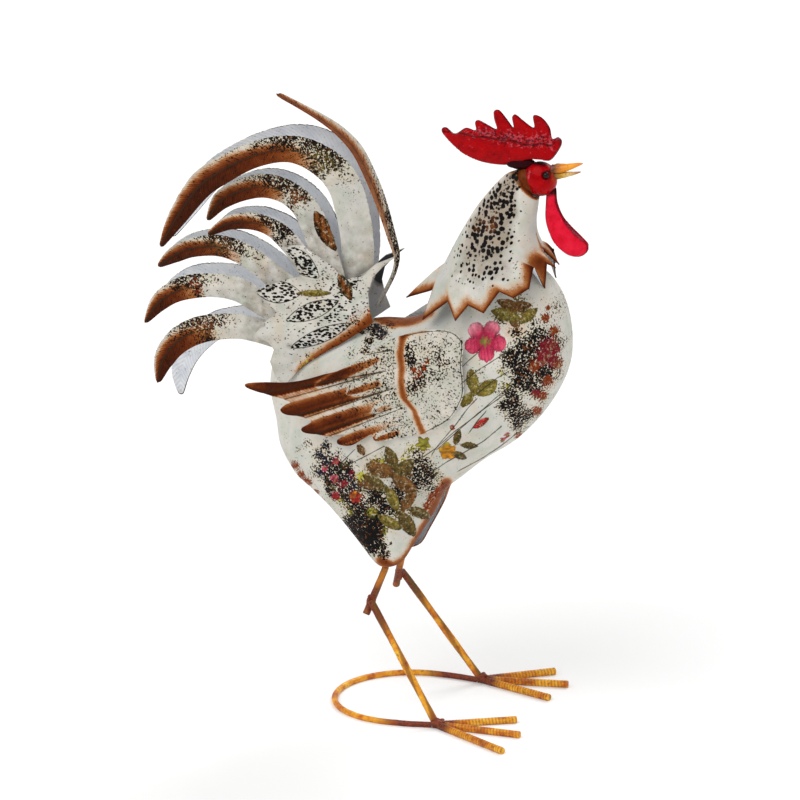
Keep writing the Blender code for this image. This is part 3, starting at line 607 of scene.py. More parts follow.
def rustyRod():
    p = Paint("ochre_and_rust_rod")
    mid, fine, wide = p.noise(110, 5, 0.62), p.noise(620, 3, 0.65), p.noise(38, 3)
    colour = p.ramp(p.scaled(mid, 0.7, p.times(wide, 0.3)), (0.3, (124, 56, 12)),
                    (0.42, (194, 102, 10)), (0.52, (226, 150, 24)), (0.66, (244, 192, 62)))
    knot = p.scaled(mid, 0.9, p.math("ADD", p.field("knot"), -0.45))
    colour = p.mix(p.step(knot, 0.5, 0.4), colour, p.ramp(fine, (0.35, (76, 24, 12)), (0.65, (140, 58, 18))))
    groove = p.scaled(fine, 0.9, p.math("ADD", p.field("groove"), -0.45))
    hollow = p.ramp(wide, (0.4, (96, 76, 16)), (0.6, (120, 56, 14)))
    colour = p.mix(p.times(p.step(groove, 0.62, 0.5), 0.7), colour, hollow)
    colour = p.mix(p.times(p.step(p.noise(300, 4, 0.7), 0.62, 0.06), 0.6), colour, (72, 30, 12))
    rough = p.scaled(fine, 0.3, 0.3)
    normal = p.relief(mid, 0.8, 0.7)
    normal = p.relief(fine, 0.28, 0.9, normal)
    return p.finish(colour, rough, normal, Metallic=0.1, Specular_IOR_Level=0.35)


def paleFloor():
    p = Paint("studio_floor")
    mid = p.noise(3, 4)
    colour = p.ramp(mid, (0.3, (249, 249, 248)), (0.7, (252, 252, 251)))
    return p.finish(colour, p.scaled(mid, 0.1, 0.7), p.relief(p.noise(60, 2), 0.02, 0.2))


enamel, steel, rust, eyeBlack = enamelPaint(), innerSteel(), rustyRod(), eyePaint()
red = redEnamel("red_enamel", 1.0, (0.25, (116, 0, 6)), (0.45, (150, 0, 6)), (0.6, (162, 1, 8)),
                (0.75, (178, 2, 14)))
crimson = redEnamel("crimson_enamel", 0.2, (0.25, (192, 8, 32)), (0.5, (214, 20, 48)), (0.75, (226, 34, 60)))
beakRoot, beakTip = (ankles[0] + x / 1000 for x in (79, 101))
upperHorn = beakPaint("orange_beak_enamel", beakRoot, beakTip, (0.0, (96, 44, 20)), (0.3, (214, 128, 24)),
                      (0.65, (238, 158, 24)), (0.95, (222, 130, 30)))
lowerHorn = beakPaint("ochre_beak_enamel", beakRoot, beakTip, (0.0, (84, 36, 20)), (0.3, (196, 150, 40)),
                      (0.6, (214, 184, 120)), (0.9, (156, 96, 50)))
print("paints")


def coat(piece, *materials):
    for material in materials:
        piece.data.materials.append(material)


# Body
body = {
    "steps": 14, "rings": 52, "smoothing": 24,
    "flapTop": 186, "flapBottom": 117.5, "flapGap": 26, "flapPower": 0.8,
}
anchors = {
    "neck": (28, 340, 38), "chest": (38, 298, 54), "heart": (4, 268, 58), "flank": (-42, 246, 56),
    "rump": (-94, 246, 42), "rear": (-128, 250, 25), "hip": (-50, 200, 51), "thigh": (-54, 165, 45),
    "knee": (-53, 139, 37),
}
bodyOutline = [
    (28, 378, "neck"), (54, 375, "neck"), (72, 367, "neck"), (82, 353, "chest"), (89, 335, "chest"),
    (92, 314, "chest"), (91, 294, "chest"), (84, 274, "chest"), (70, 251, "chest"), (48, 227, "heart"),
    (24, 210, "heart"), (2, 191, "flank"), (-9, 181, "hip"), (-17, 163, "thigh"), (-31, 138, "knee"),
    (-40, 123, "knee"), (-51, 117.5, "knee"), (-62, 120, "knee"), (-79, 137.5, "knee"),
    (-100, 158, "thigh"), (-120, 173, "hip"), (-137, 184, "flank"), (-149, 204, "rump"),
    (-153, 226, "rear"), (-158, 250, "rear"), (-157, 268, "rear"), (-152, 281, "rear"),
    (-132, 295, "rump"), (-104, 307, "rump"), (-70, 316, "flank"), (-46, 318, "flank"),
    (-27, 326, "heart"), (-8, 344, "chest"), (6, 364, "neck"),
]


bodyTransfer = {
    "spots": {
        "black": [(-60, 180, 9, 0.35), (-50, 164, 9, 0.45), (-72, 160, 8, 0.45), (-74, 146, 9, 0.9),
                  (-80, 150, 7, 0.8), (-68, 140, 8, 1), (-28, 188, 9, 0.6), (-31, 177, 8, 0.5),
                  (-37, 200, 6, 0.4), (-95, 172, 9, 0.4), (-104, 186, 8, 0.3), (-74, 302, 5, 0.7),
                  (-64, 298, 7, 0.7), (-54, 303, 4, 0.5), (14, 262, 12, 0.25), (48, 290, 7, 0.4),
                  (38, 270, 7, 0.35), (34, 250, 7, 0.4), (40, 236, 8, 0.4), (50, 222, 7, 0.4),
                  (78, 312, 7, 0.35), (82, 290, 6, 0.4), (80, 262, 6, 0.4), (44, 297, 4.8, 0.8),
                  (62, 297, 8.8, 0.7), (38, 278, 7.2, 0.7), (52, 278, 10.4, 0.85), (48, 267, 8, 0.7),
                  (57, 255, 9.6, 0.8), (47, 257, 6.4, 0.7), (42, 246, 6.4, 0.7), (34, 238, 4.8, 0.7),
                  (44, 234, 7.2, 0.7), (54, 231, 5.6, 0.7), (44, 223, 5.6, 0.6), (74, 320, 6.4, 0.35),
                  (64, 322, 4.8, 0.3), (32, 305, 4, 0.5), (68, 265, 6.4, 0.8), (63, 286, 8, 0.7),
                  (-94, 186, 7.2, 0.9), (-72, 140, 9.6, 1.3), (-67, 132, 6.4, 1.2), (-70, 123, 4.8, 1.1),
                  (-61, 126, 4, 0.8), (-60, 118, 4, 0.9), (-89, 146, 5.6, 1), (-82, 137, 6.4, 1.1),
                  (-77, 130, 4.8, 1), (-32, 190, 8, 0.7), (-26, 182, 6.4, 0.7), (-22, 172, 4.8, 0.5),
                  (-67, 169, 6.4, 0.85), (-65, 159, 7.2, 0.85), (-55, 155, 5.6, 0.8), (-49, 170, 4.8, 0.7),
                  (-44, 180, 4.8, 0.7), (-78, 155, 5.6, 0.8), (-86, 162, 4.8, 0.7), (-38, 174, 5.6, 0.7),
                  (-46, 161, 4.8, 0.6), (-104, 178, 5, 0.8), (-92, 168, 5, 0.8), (-104, 170, 4, 0.7),
                  (-90, 176, 4, 0.7), (-88, 192, 5, 0.5), (-99, 186, 4, 0.6), (-83, 158, 5, 0.6),
                  (-86, 280, 6.4, 0.35), (-75, 282, 4, 0.8), (-73, 290, 4, 1)],
        "blue": [(-106, 207, 4.8, 0.8), (-121, 208, 4, 0.7), (-112, 199, 5.6, 0.8), (-113, 186, 6.4, 0.7),
                 (-128, 202, 4, 0.5), (-104, 194, 4.8, 0.8), (-89, 180, 4, 0.8), (-82, 174, 4, 0.8),
                 (-62, 295, 4.8, 0.8), (-131, 193, 3.2, 0.5), (-96, 201, 4, 0.6)],
        "rust": [(68, 308, 4, 0.9), (75, 298, 4, 0.9), (59, 270, 5.6, 0.8), (78, 272, 4, 1),
                 (70, 258, 4.8, 0.9), (66, 246, 4.8, 0.9), (62, 234, 4.8, 0.8), (47, 214, 3.2, 0.9),
                 (74, 286, 4, 0.8), (-132, 190, 3.6, 1), (-127, 183, 3.6, 1), (-122, 177, 4.2, 1),
                 (-115, 169, 3, 0.8), (-22, 165, 4, 0.9), (-17, 170, 3.2, 0.8), (-11, 175, 3.2, 0.7),
                 (-25, 158, 4, 0.8)],
        "rose": [(70, 282, 8.8, 1.2), (73, 273, 4.8, 0.9), (60, 248, 3.2, 0.9), (-99, 194, 3.2, 0.9),
                 (-108, 188, 2.8, 0.9), (-100, 180, 3.6, 0.9), (-86, 184, 2.8, 0.9), (-99, 166, 3.6, 1),
                 (-83, 165, 4.8, 1.1), (-95, 174, 3.2, 0.8), (-110, 162, 2.4, 0.6)],
        "olive": [(36, 314, 7.2, 0.9), (47, 320, 6.4, 0.8), (30, 310, 5.6, 0.7), (54, 311, 5.6, 0.8),
                  (-60, 196, 4.8, 0.4), (-70, 193, 5.6, 0.5), (-80, 170, 4.8, 0.5), (-49, 150, 4.8, 0.5),
                  (-38, 153, 4.8, 0.6), (-75, 153, 4, 0.5), (-101, 174, 4, 0.5), (-92, 158, 4, 0.5),
                  (-16, 183, 4.8, 0.5), (-29, 206, 4.8, 0.5)],
        "yellow": [(-65, 192, 4.8, 0.9), (-46, 196, 4.4, 0.8), (-39, 205, 4.8, 0.45), (-78, 182, 4.8, 0.9),
                   (-70, 153, 4, 0.9), (-88, 153, 3.2, 0.5), (-60, 138, 3.2, 0.5), (-96, 162, 3.2, 0.4),
                   (32, 265, 4, 0.35), (36, 254, 4, 0.35), (-92, 190, 3.2, 0.4), (48, 314, 2.4, 0.8),
                   (-54, 138, 3.2, 0.4)],
    },
    "leaves": [
        ("olive", (7.7, 268.6), (12.4, 246.5), 10),
        ("olive", (30, 258.8), (14, 246), 12),
        ("olive", (0.4, 236.5), (11.4, 249.6), 8),
        ("dark", (-4, 206), (0, 220), 6.4),
        ("dark", (0, 207), (15, 206), 5.6),
        ("dark", (-6, 201), (6, 196), 6.4),
        ("red", (10, 220), (24, 229), 5.6),
        ("brown", (-82, 208), (-75, 198), 6.4),
        ("dark", (-59, 206), (-50, 186), 10),
        ("brown", (-76, 192), (-51, 182), 12),
        ("dark", (-53, 179), (-36, 196), 12),
        ("brown", (-55, 184), (-34, 168), 12),
        ("dark", (-78, 184), (-57, 169), 9.5),
        ("brown", (-82, 176), (-64, 172), 6.5),
        ("olive", (-58, 174), (-49, 153), 9),
        ("brown", (-34, 173), (-47, 153), 9),
        ("olive", (-66, 151), (-46, 139), 9),
        ("dark", (-49, 155), (-35, 133), 11.5),
        ("dark", (-42, 157), (-22, 148), 8.5),
        ("olive", (24, 314), (50, 306), 10),
        ("brown", (29, 322), (51, 313), 9.5),
        ("olive", (47, 303), (62, 316), 8),
        ("brown", (40, 318), (58, 318), 7),
        ("brown", (39, 305), (48, 300), 4.8),
    ],
    "stems": [
        [[(57.6, 294.6), (36.4, 280.2), (13.7, 265.9), (2.4, 256.8)],
         [(42.4, 256), (28.8, 244.7), (12.2, 229.6), (-4.4, 217.5), (-19.5, 203.9), (-36.1, 192.6)],
         [(33.4, 222), (19, 210), (4.7, 201.6), (-10.4, 193.3), (-24, 184)],
         [(-60, 206), (-75, 198), (-91, 190)]],
        [[(15.2, 281), (6.2, 273.4), (-0.6, 266.6)],
         [(37.9, 248.9), (25.8, 240.2), (14.5, 232.3), (-1.4, 218.3), (-18, 203.5)],
         [(47, 217.5), (31.9, 205.4), (18.3, 196.4), (-1.4, 185.8)], [(-84, 203), (-97, 190)]],
        [[(39.4, 265.9), (28.8, 259.8), (13.7, 247.7)], [(21.3, 234.1), (13.7, 225.8), (8, 217.5)],
         [(13.7, 244), (6.2, 236.1), (-2.9, 223.5), (-16.5, 207.6), (-22.5, 198.9)]],
    ],
    "stains": [
        ("rose", 71, 283, 7.5), ("rose", 66, 275, 4.5), ("rose", 74, 275, 4), ("rose", 60, 248, 3),
        ("rust", 68, 308, 3), ("rust", 75, 298, 3), ("rust", 59, 269, 3.6), ("rust", 78, 271, 3.2),
        ("rust", 70, 259, 3.5), ("rust", 66, 246, 3.2), ("rust", 62, 234, 3.4), ("rust", 47, 214, 2.5),
        ("rust", 70, 316, 2.2), ("rust", -132, 190, 2.4), ("rust", -127, 183, 2.6), ("rust", -122, 177, 3),
        ("rust", -115, 169, 2.2), ("rust", -22, 165, 3), ("rust", -17, 170, 2.5), ("rust", -26, 158, 3),
        ("rose", -92, 176, 2.8),
        ("black", -62, 126, 1.8), ("black", -57, 121, 1.6), ("black", -64, 118, 1.7), ("black", -55, 128, 1.4),
        ("black", -74, 304, 2.6), ("blue", -66, 301, 3), ("blue", -60, 296, 2.4), ("black", -70, 295, 2),
        ("black", -78, 297, 2.2),
    ],
    "smallBlossoms": [
        ((-10, 202), 7.2, 5.6, 20, "orange", "yellow"), ((-29, 208), 6.5, 4.2, 50, "yellow", "olive"),
        ((-6, 221), 2.4, 2.4, 0, "petal", "paleRose"), ((38, 215), 2.4, 2.2, 30, "petal", "paleRose"),
        ((34, 211), 2.6, 2.2, 10, "petal", "paleRose"), ((-99, 194), 3, 2.6, 0, "petal", "rose"),
        ((-100, 180), 3.6, 3, 40, "petal", "paleRose"), ((-108, 188), 2.6, 2.4, 15, "petal", "paleRose"),
        ((-83, 165), 5, 4.4, 25, "red", "orange"), ((-99, 166), 3.6, 3.2, 60, "red", "petal"),
    ],
    "seam": [(-74, 313), (-63.6, 308), (-53, 304), (-42.4, 305), (-31.6, 308.5), (-24, 313)],
    "flap": [(-10, 177), (-17, 165), (-25, 146), (-36, 126), (-44, 114), (-53, 109), (-63, 114)],
}


def paintBody(piece, side):
    a, b = onTransfer(piece, side)
    density, tint = sprinkle(a, b, bodyTransfer["spots"])
    motifs = Motifs(a, b)
    for paint, tip, root, width in bodyTransfer["leaves"]:
        motifs.leaf("leaf" if paint == "olive" else paint, tip, root, width)
    for centre, length, width, turn, paint, pale in bodyTransfer["smallBlossoms"]:
        motifs.blossom(centre, length, width, turn, paint=paint, pale=pale, heart=0.9)
    for stain in bodyTransfer["stains"]:
        motifs.stain(*stain)
    motifs.blossom((20, 290), 17, 13, 59, heart=3)
    middle = np.where(np.abs(drawnPoints(piece)[:, 1]) < 12, 99, 0)
    stems = {}
    for (field, reach), lines in zip(stemFields, bodyTransfer["stems"]):
        stem = np.full(len(a), 99.0)
        for line in lines:
            away = lineDistance(a, b, line)
            stem = np.where(np.abs(away) < np.abs(stem), away, stem)
        stems[field], stems[reach] = stem, np.abs(stem) + middle
    seam = np.abs(lineDistance(a, b, bodyTransfer["seam"]))
    flap = np.abs(lineDistance(a, b, bodyTransfer["flap"]))
    brown = 0.8 * near(seam, 4.6) + 0.85 * near(flap, 4.5)
    brown += 0.3 * np.exp(-((a - 44) ** 2 + (b - 300) ** 2) / 160)
    quiet = held(1.2 - near(a + 52, 9, b - 132, 9))
    most = 1.12 + 0.36 * near(a + 74, 14, b - 138, 15)
    # painted shadow under the hackle's lower edge (the small patch at 10, 262), and a broad darkening low on
    # the flank
    grime = 0.6 * near(a + 58, 28, b - 178, 24) + 0.12 * near(a - 10, 16, b - 262, 18)
    keepFields(piece, tint, motifs.colour, speck=np.minimum(density * 1.3, most) * quiet + 0.14,
               cover=motifs.cover, worn=motifs.worn, brown=brown, grime=grime, **stems)


def makeBody(name, side):
    count, steps = len(bodyOutline), body["steps"]
    flat = np.array([p[:2] for p in bodyOutline], float)
    loop = np.vstack([flat[-1:], flat, flat[:2]])
    rims, spines = [], []
    for k in range(count):
        stretch = smoothLine(loop[k:k + 4], steps)[steps:2 * steps]
        first, last = (np.array(anchors[bodyOutline[(k + i) % count][2]], float) for i in (0, 1))
        share = np.linspace(0, 1, steps, endpoint=False)[:, None]
        rims.append(stretch)
        spines.append(first + (last - first) * share)
    rims, spines = np.vstack(rims), np.vstack(spines)
    rims, spines = np.vstack([rims, rims[:1]]), np.vstack([spines, spines[:1]])
    piece, u, v = addGrid(name, len(rims) - 1, body["rings"])
    i = np.rint(u * (len(rims) - 1)).astype(int)
    rim, spine = rims[i], spines[i]
    turn = v * math.pi / 2
    x = spine[:, 0] + (rim[:, 0] - spine[:, 0]) * np.cos(turn)
    z = spine[:, 1] + (rim[:, 1] - spine[:, 1]) * np.cos(turn)
    low = held((body["flapTop"] - rim[:, 1]) / (body["flapTop"] - body["flapBottom"]))
    start = body["flapGap"] * low ** body["flapPower"]
    y = start + (spine[:, 2] - start) * np.sin(turn)
    writePoints(piece, x, side * (y + seamGap), z)
    mergeNear(piece, 2e-5)
    faceOut(piece, side)
    smoothInside(piece, body["smoothing"])
    skins[name] = skinOf(piece)
    paintBody(piece, side)
    return piece


def clearMiddle(piece, side):
    at = drawnPoints(piece)
    writePoints(piece, at[:, 0], side * np.maximum(side * at[:, 1], seamGap), at[:, 2])


for side, word in sides:
    piece = makeBody(f"bodyShell_{word}", side)
    giveThickness(piece)
    clearMiddle(piece, side)
    shadeSoft(piece)
    setUp(piece, "white_paint", f"body_{word}")
print("body shells")

# Hackle
hackle = {
    "stations": [((48, 452), (66, 431), 11.6), ((36, 445), (65, 423), 14), ((17, 422), (63.5, 411), 19),
                 ((2, 397), (64, 400), 27.5), ((-12, 369), (68, 389), 38)],
    "edge": [(-20, 3, 356), (-43, 6, 339), (-15, 25, 353), (-20, 35, 331), (5, 47, 352), (14, 55, 339),
             (24, 53, 352), (38, 56, 348), (49, 50, 365), (60, 47, 360), (70, 38, 366), (70, 25, 381),
             (76, 15, 360), (76, 9, 379), (82, 5, 375), (70, 1, 385)],
    "columns": 210, "rows": 120, "share": 0.62,
    "pleat": 0.9, "pleatPower": 1.5, "swell": 5, "swellReach": 60, "swellUp": 0.3,
    "smoothing": 6, "clearance": 1.0,
    "net": [(43, 420, 8, 0.95), (37, 409, 10, 0.95), (28, 397, 12, 0.95), (20, 386, 12, 0.75),
            (40, 392, 10, 0.7), (12, 374, 12, 0.6), (25, 372, 13, 0.6), (38, 372, 11, 0.6),
            (4, 360, 11, 0.5), (18, 355, 13, 0.5), (33, 354, 12, 0.5), (-2, 346, 10, 0.35),
            (10, 340, 12, 0.42), (26, 337, 12, 0.4), (40, 342, 9, 0.35)],
    "glow": [(24, 381, 5, 1.2), (18, 386, 4, 0.8), (27, 390, 4, 0.9), (13, 379, 4, 0.6)],
    "specks": [(46, 350, 5, 0.35), (42, 345, 4, 0.3), (50, 342, 4, 0.3), (36, 412, 8, 0.5), (26, 398, 10, 0.3)],
}


def makeHackle(name, side):
    piece, u, v = addGrid(name, hackle["columns"], hackle["rows"])
    edge = np.array(hackle["edge"], float)
    phase = u * (len(edge) - 1)
    turn = math.pi * u
    along = (1 - np.cos(turn)) / 2
    stations = []
    for (rearX, rearZ), (frontX, frontZ), half in hackle["stations"]:
        stations.append(np.stack([
            rearX + (frontX - rearX) * along, half * np.sin(turn), rearZ + (frontZ - rearZ) * along,
        ], axis=1))
    k = np.minimum(np.floor(phase).astype(int), len(edge) - 2)
    f = phase - k
    end = edge[k] + (edge[k + 1] - edge[k]) * f[:, None]
    split = hackle["share"]
    upper = v < split
    # the cape above: smooth through the stations
    t = held(v / split) * (len(stations) - 1)
    stack = np.array([2 * stations[0] - stations[1], *stations, 2 * stations[-1] - stations[-2]])
    seg = np.minimum(np.floor(t).astype(int), len(stations) - 2)
    w = (t - seg)[:, None]
    index = np.arange(len(u))
    a, b, c, d = (stack[seg + n, index] for n in range(4))
    cape = between(a, b, c, d, w)
    low = held((v - split) / (1 - split))[:, None]
    last = stations[-1]
    skirt = last + (end - last) * low
    swell = hackle["swell"] * np.sin(math.pi * low[:, 0])
    skirt[:, 1] += swell * skirt[:, 1] / hackle["swellReach"]
    skirt[:, 2] += swell * hackle["swellUp"]
    places = np.where(upper[:, None], cape, skirt)
    tipness = np.abs(((phase + 1) % 2) - 1)  # 1 on a lock's middle, 0 in a notch
    places[:, 1] += hackle["pleat"] * (tipness - 0.5) * low[:, 0] ** hackle["pleatPower"]
    seam = (u < 1e-6) | (u > 1 - 1e-6)
    places[:, 1] = np.where(seam & upper, 0, places[:, 1])
    writePoints(piece, places[:, 0], side * (places[:, 1] + seamGap), places[:, 2])
    span = np.linalg.norm(end - last, axis=1)
    faceOut(piece, side)
    liftOff(piece, skins[f"bodyShell_{sideWord[side]}"], sheetThickness + hackle["clearance"])
    smoothInside(piece, hackle["smoothing"])
    a, b = onTransfer(piece, side)
    edge = (1 - v) / (1 - split) * span
    net, _ = sprinkle(a, b, {"black": hackle["net"]})
    _, tint = sprinkle(a, b, {"black": hackle["net"], "amber": hackle["glow"]})
    brown = 0.62 * near(edge, 9.5) + 0.6 * near(edge, 1.8) + 1.2 * near(v * 60, 2.6)
    brown += 0.6 * np.exp(-(u * 70) ** 2) + 0.4 * np.exp(-(u * 12) ** 2) + 0.75 * near(a - 60, 8, b - 352, 10)
    brown += 0.7 * near(a - 38, 9, b - 432, 4)
    specks, _ = sprinkle(a, b, {"black": hackle["specks"]})
    # darker low on the front of the hackle
    keepFields(piece, tint, brown=brown, dots=np.minimum(net, 0.98), speck=specks + 0.06,
               grime=0.22 * near(a - 8, 26, b - 332, 16))
    giveThickness(piece)
    clearMiddle(piece, side)
    shadeSoft(piece)
    return piece


for side, word in sides:
    piece = makeHackle(f"hackleCape_{word}", side)
    setUp(piece, "white_paint", f"hackle_{word}")
print("hackle")

# Tail feathers
feathers = {
    "fan": [
        [(-208, 390, 5), (-198, 405, 15), (-182, 415, 18), (-163, 421, 20), (-145, 419, 21),
         (-130, 410, 22), (-119, 394, 24)],
        [(-206, 378, 5), (-190, 388, 12), (-171, 391, 14.5), (-156, 388, 15.5), (-143, 380, 18)],
        [(-249, 347, 5), (-237.5, 356, 13), (-222, 364, 16), (-200, 368, 18), (-180, 364, 19),
         (-160, 353, 20)],
        [(-257, 303, 5), (-248.5, 316.5, 14), (-237, 326.5, 17.5), (-222, 333, 20), (-202, 336, 20),
         (-181, 334, 21)],
        [(-248.5, 253, 6), (-245, 268, 16), (-236.5, 282, 20), (-223, 293, 22), (-205, 300, 22),
         (-183, 303, 21), (-169, 302, 21)],
    ],
    "lean": [(12, 8), (13, 10), (14, 9), (15, 21), (15, 17)],
    "slots": [(-91, 352), (-124, 375), (-127, 347), (-161, 334), (-159, 312), (-143.5, 286)],
    "base": [(-84, 330), (-97, 325), (-108, 318), (-121, 314), (-130, 309), (-139, 297)],
    "rootY": 14.5, "tip": 0.3,
    "ridge": 3.2, "roofPower": 1.25, "clearance": 0.6,
    "droop": 12.0, "reach": 1.06, "drop": 60,
    "steps": 14, "across": 16, "web": (80, 10),
    "notches": 0.05,
    "fade": [0.6, 0.68, 0.66, 0.6, 0.6],
    "patch": [(0.72, 0.06, "amber"), (0.8, 0.06, "black"), (0.6, 0.06, "brown"), (0.62, 0.03, "rust"),
              (0.6, 0.05, "amber")],
    "marks": [("amber", (-116, 394), (-98, 361), 8)],
}
sickle = {
    "line": [(-245, 367, 5), (-233, 389, 15), (-213, 418, 21), (-193, 434, 22), (-169, 448, 21),
             (-143, 456, 22), (-122, 454, 25), (-102, 443, 28), (-91.5, 428.5, 29), (-86.5, 409, 29),
             (-83.5, 388, 28), (-83, 367, 27), (-85, 346, 22), (-86, 332, 15)],
    "steps": 12, "centreRidge": 2.0,
    "lean": [(0.0, 15), (0.35, 19), (0.6, 17), (0.75, 11.5), (0.88, 8), (1.0, 6.5)],
    "centre": [(-150, 494.5, 8), (-134, 487.5, 11), (-116, 479, 15), (-100, 469, 19), (-86, 455, 22),
               (-75, 434.5, 23), (-66, 413, 22), (-58, 388, 18), (-53, 370, 13), (-55, 356, 10),
               (-61, 342, 8), (-69, 327, 8)],
}


def paintFeather(piece, share, across, half, curve, i, fade, patch=None, side=right, marks=(), burnt=1.0):
    lengths = np.concatenate([[0], np.cumsum(np.hypot(*np.diff(curve[:, :2], axis=0).T))])[i]
    upper = held(across * 3 + 0.5)  # 1 on the feather's outer half, painted lighter as the lit face of its ridge
    rim = near((1 - np.abs(across)) * half, 1.1)
    faded = share / fade
    brown = np.interp(faded, [0, 0.1, 0.3, 0.6, 0.82, 1.12], [1.4, 1.3, 1.15, 1.0, 0.7, 0.0])
    # painted light and shade: the outer half of each feather lighter, the inner half darker, as the two faces
    # of its ridge would be lit, with a painted highlight along the outer rim
    shaded = 0.2 * (1 - upper) - 0.72 * held((across - 0.25) / 0.55)
    brown += shaded * held(faded * 3.5) * (faded < 1.1)
    brown += 0.25 * near(across, 0.16) * (faded < 0.9) - 0.25 * rim * upper * (faded < 1.1)
    mottle = 0.95 * near(faded - 0.98, 0.26) * (0.4 + 0.6 * upper)
    mottle += 0.2 * held((faded - 0.4) / 0.3) * (faded < 1) * upper + 0.14
    tint = linear(paints["soot"])
    if patch:
        at, size, colour = patch
        nearby = near(share - at, size)
        mottle = mottle + 0.7 * nearby
        tint = tint + (linear(paints[colour]) - tint) * (nearby * held(1.4 - np.abs(across) * 1.6))[:, None]
    motifs = Motifs(*onTransfer(piece, side))
    for mark in marks:
        motifs.diamond(*mark)
    keepFields(piece, tint, motifs.colour, cover=motifs.cover, speck=np.clip(mottle, 0, 1.2),
               brown=np.clip(brown * burnt, 0, 1.5), stem=across * half,
               stemNear=np.where(faded < 1.1, 0, 4),
               barb=lengths + np.abs(across) * half * 1.1, barbs=np.clip(1.35 - faded * 0.9, 0.12, 1),
               # painted shade: greyer towards the root
               grime=0.15 + np.clip((share - 0.72) * 2.2, 0, 0.42))


def featherLine(name, line, steps):
    line = np.array(line, float)
    outward = line[0, :2] - line[1, :2]
    tip = line[0, :2] + outward / np.hypot(*outward) * line[0, 2] * 0.5
    curve = smoothLine(np.vstack([[*tip, feathers["tip"]], line]), steps)
    count = len(curve) - 1
    ahead = np.gradient(curve[:, :2], axis=0)
    ahead /= np.hypot(ahead[:, 0], ahead[:, 1])[:, None]
    piece, u, v = addGrid(name, count, feathers["across"])
    i = np.rint(u * count).astype(int)
    return piece, curve, ahead, i, i / count, 1 - 2 * v, curve[i, 2] / 2


def rising(share):
    return np.minimum(1, 3 * share + 0.25)


def featherGrid(name, line, leanAt, side, steps, root=None, seed=0, fade=0.6, patch=None, marks=()):
    piece, curve, ahead, i, share, across, half = featherLine(name, line, steps)
    notch = np.random.default_rng(seed).random(len(curve))[i] * (np.sin(i * 2.4 + seed) > 0.2)
    half = half * (1 - feathers["notches"] * notch * (np.abs(across) > 0.95) * (across > 0))
    nx, nz = -ahead[i, 1] * half * across, ahead[i, 0] * half * across
    high = feathers["ridge"] * rising(share)
    roof = 1 - np.abs(across) ** feathers["roofPower"]
    y = leanAt(share) - high / 2 + high * roof
    x, z = curve[i, 0] + nx, curve[i, 1] + nz
    if root is not None:
        (upX, upZ), (lowX, lowZ), rootY = root
        blend = held((share - 0.9) / 0.1) ** 2
        goalX = (upX + lowX) / 2 + (upX - lowX) / 2 * across
        goalZ = (upZ + lowZ) / 2 + (upZ - lowZ) / 2 * across
        x, z, y = x + (goalX - x) * blend, z + (goalZ - z) * blend, y + (rootY + roof - y) * blend
    writePoints(piece, x, side * y, z)
    paintFeather(piece, share, across, half, curve, i, fade, patch, side, marks)
    return piece


def turnedDown(line):
    hub = np.array(line[-1][:2], float)
    turned = []
    for x, z, width in line:
        arm = np.array([x, z]) - hub
        far = min(1.0, float(np.hypot(*arm)) / feathers["drop"])
        turn = math.radians(feathers["droop"]) * far
        cos, sin = math.cos(turn), math.sin(turn)
        arm = np.array([arm[0] * cos - arm[1] * sin, arm[0] * sin + arm[1] * cos])
        turned.append((*(hub + arm * (1 + (feathers["reach"] - 1) * far)), width))
    return turned


def makeFan(name, side):
    parts = []
    slots = feathers["slots"]
    for k, line in enumerate(feathers["fan"]):
        if side == left and k == len(feathers["fan"]) - 1:
            line = turnedDown(line)
        rootLean, tipLean = feathers["lean"][k]
        root = (slots[k], slots[k + 1], feathers["rootY"])
        end = [(slots[k][n] + slots[k + 1][n]) / 2 for n in (0, 1)]
        parts.append(featherGrid(
            f"{name}_{k}", [*line, (*end, line[-1][2])],
            lambda s, a=tipLean, b=rootLean: a + (b - a) * s, side, feathers["steps"], root, seed=k + 1,
            fade=feathers["fade"][k], patch=feathers["patch"][k], marks=feathers["marks"],
        ))
    web, u, v = addGrid(f"{name}_web", *feathers["web"])
    slotLine = np.array(slots, float)
    baseLine = np.array(feathers["base"], float)
    count = len(slots) - 1
    k = np.minimum(np.floor(u * count).astype(int), count - 1)
    f = (u * count - k)[:, None]
    top = slotLine[k] + (slotLine[k + 1] - slotLine[k]) * f
    low = baseLine[k] + (baseLine[k + 1] - baseLine[k]) * f
    at = top + (low - top) * v[:, None]
    roof = 1 - np.abs(1 - 2 * f[:, 0]) ** feathers["roofPower"]
    writePoints(web, at[:, 0], side * (feathers["rootY"] + roof * (1 - v)), at[:, 1])
    keepFields(web, speck=0.15)
    piece = join(name, *parts, web)
    mergeNear(piece, 1e-4)
    faceOut(piece, side)
    liftOff(piece, skins[f"bodyShell_{sideWord[side]}"], sheetThickness + feathers["clearance"])
    skins[name] = skinOf(piece)
    giveThickness(piece)
    shadeSoft(piece)
    return piece


for side, word in sides:
    setUp(makeFan(f"tailFan_{word}Side", side), "brown_paint", f"tail_fan_{word}")

leanTable = np.array(sickle["lean"])
for side, word in sides:
    piece = featherGrid(f"longSickle_{word}", sickle["line"], lambda s: np.interp(s, *leanTable.T), side,
                        sickle["steps"], seed=9, fade=0.5, patch=(0.54, 0.035, "olive"))
    faceOut(piece, side)
    giveThickness(piece)
    shadeSoft(piece)
    setUp(piece, "brown_paint", f"sickle_{word}")


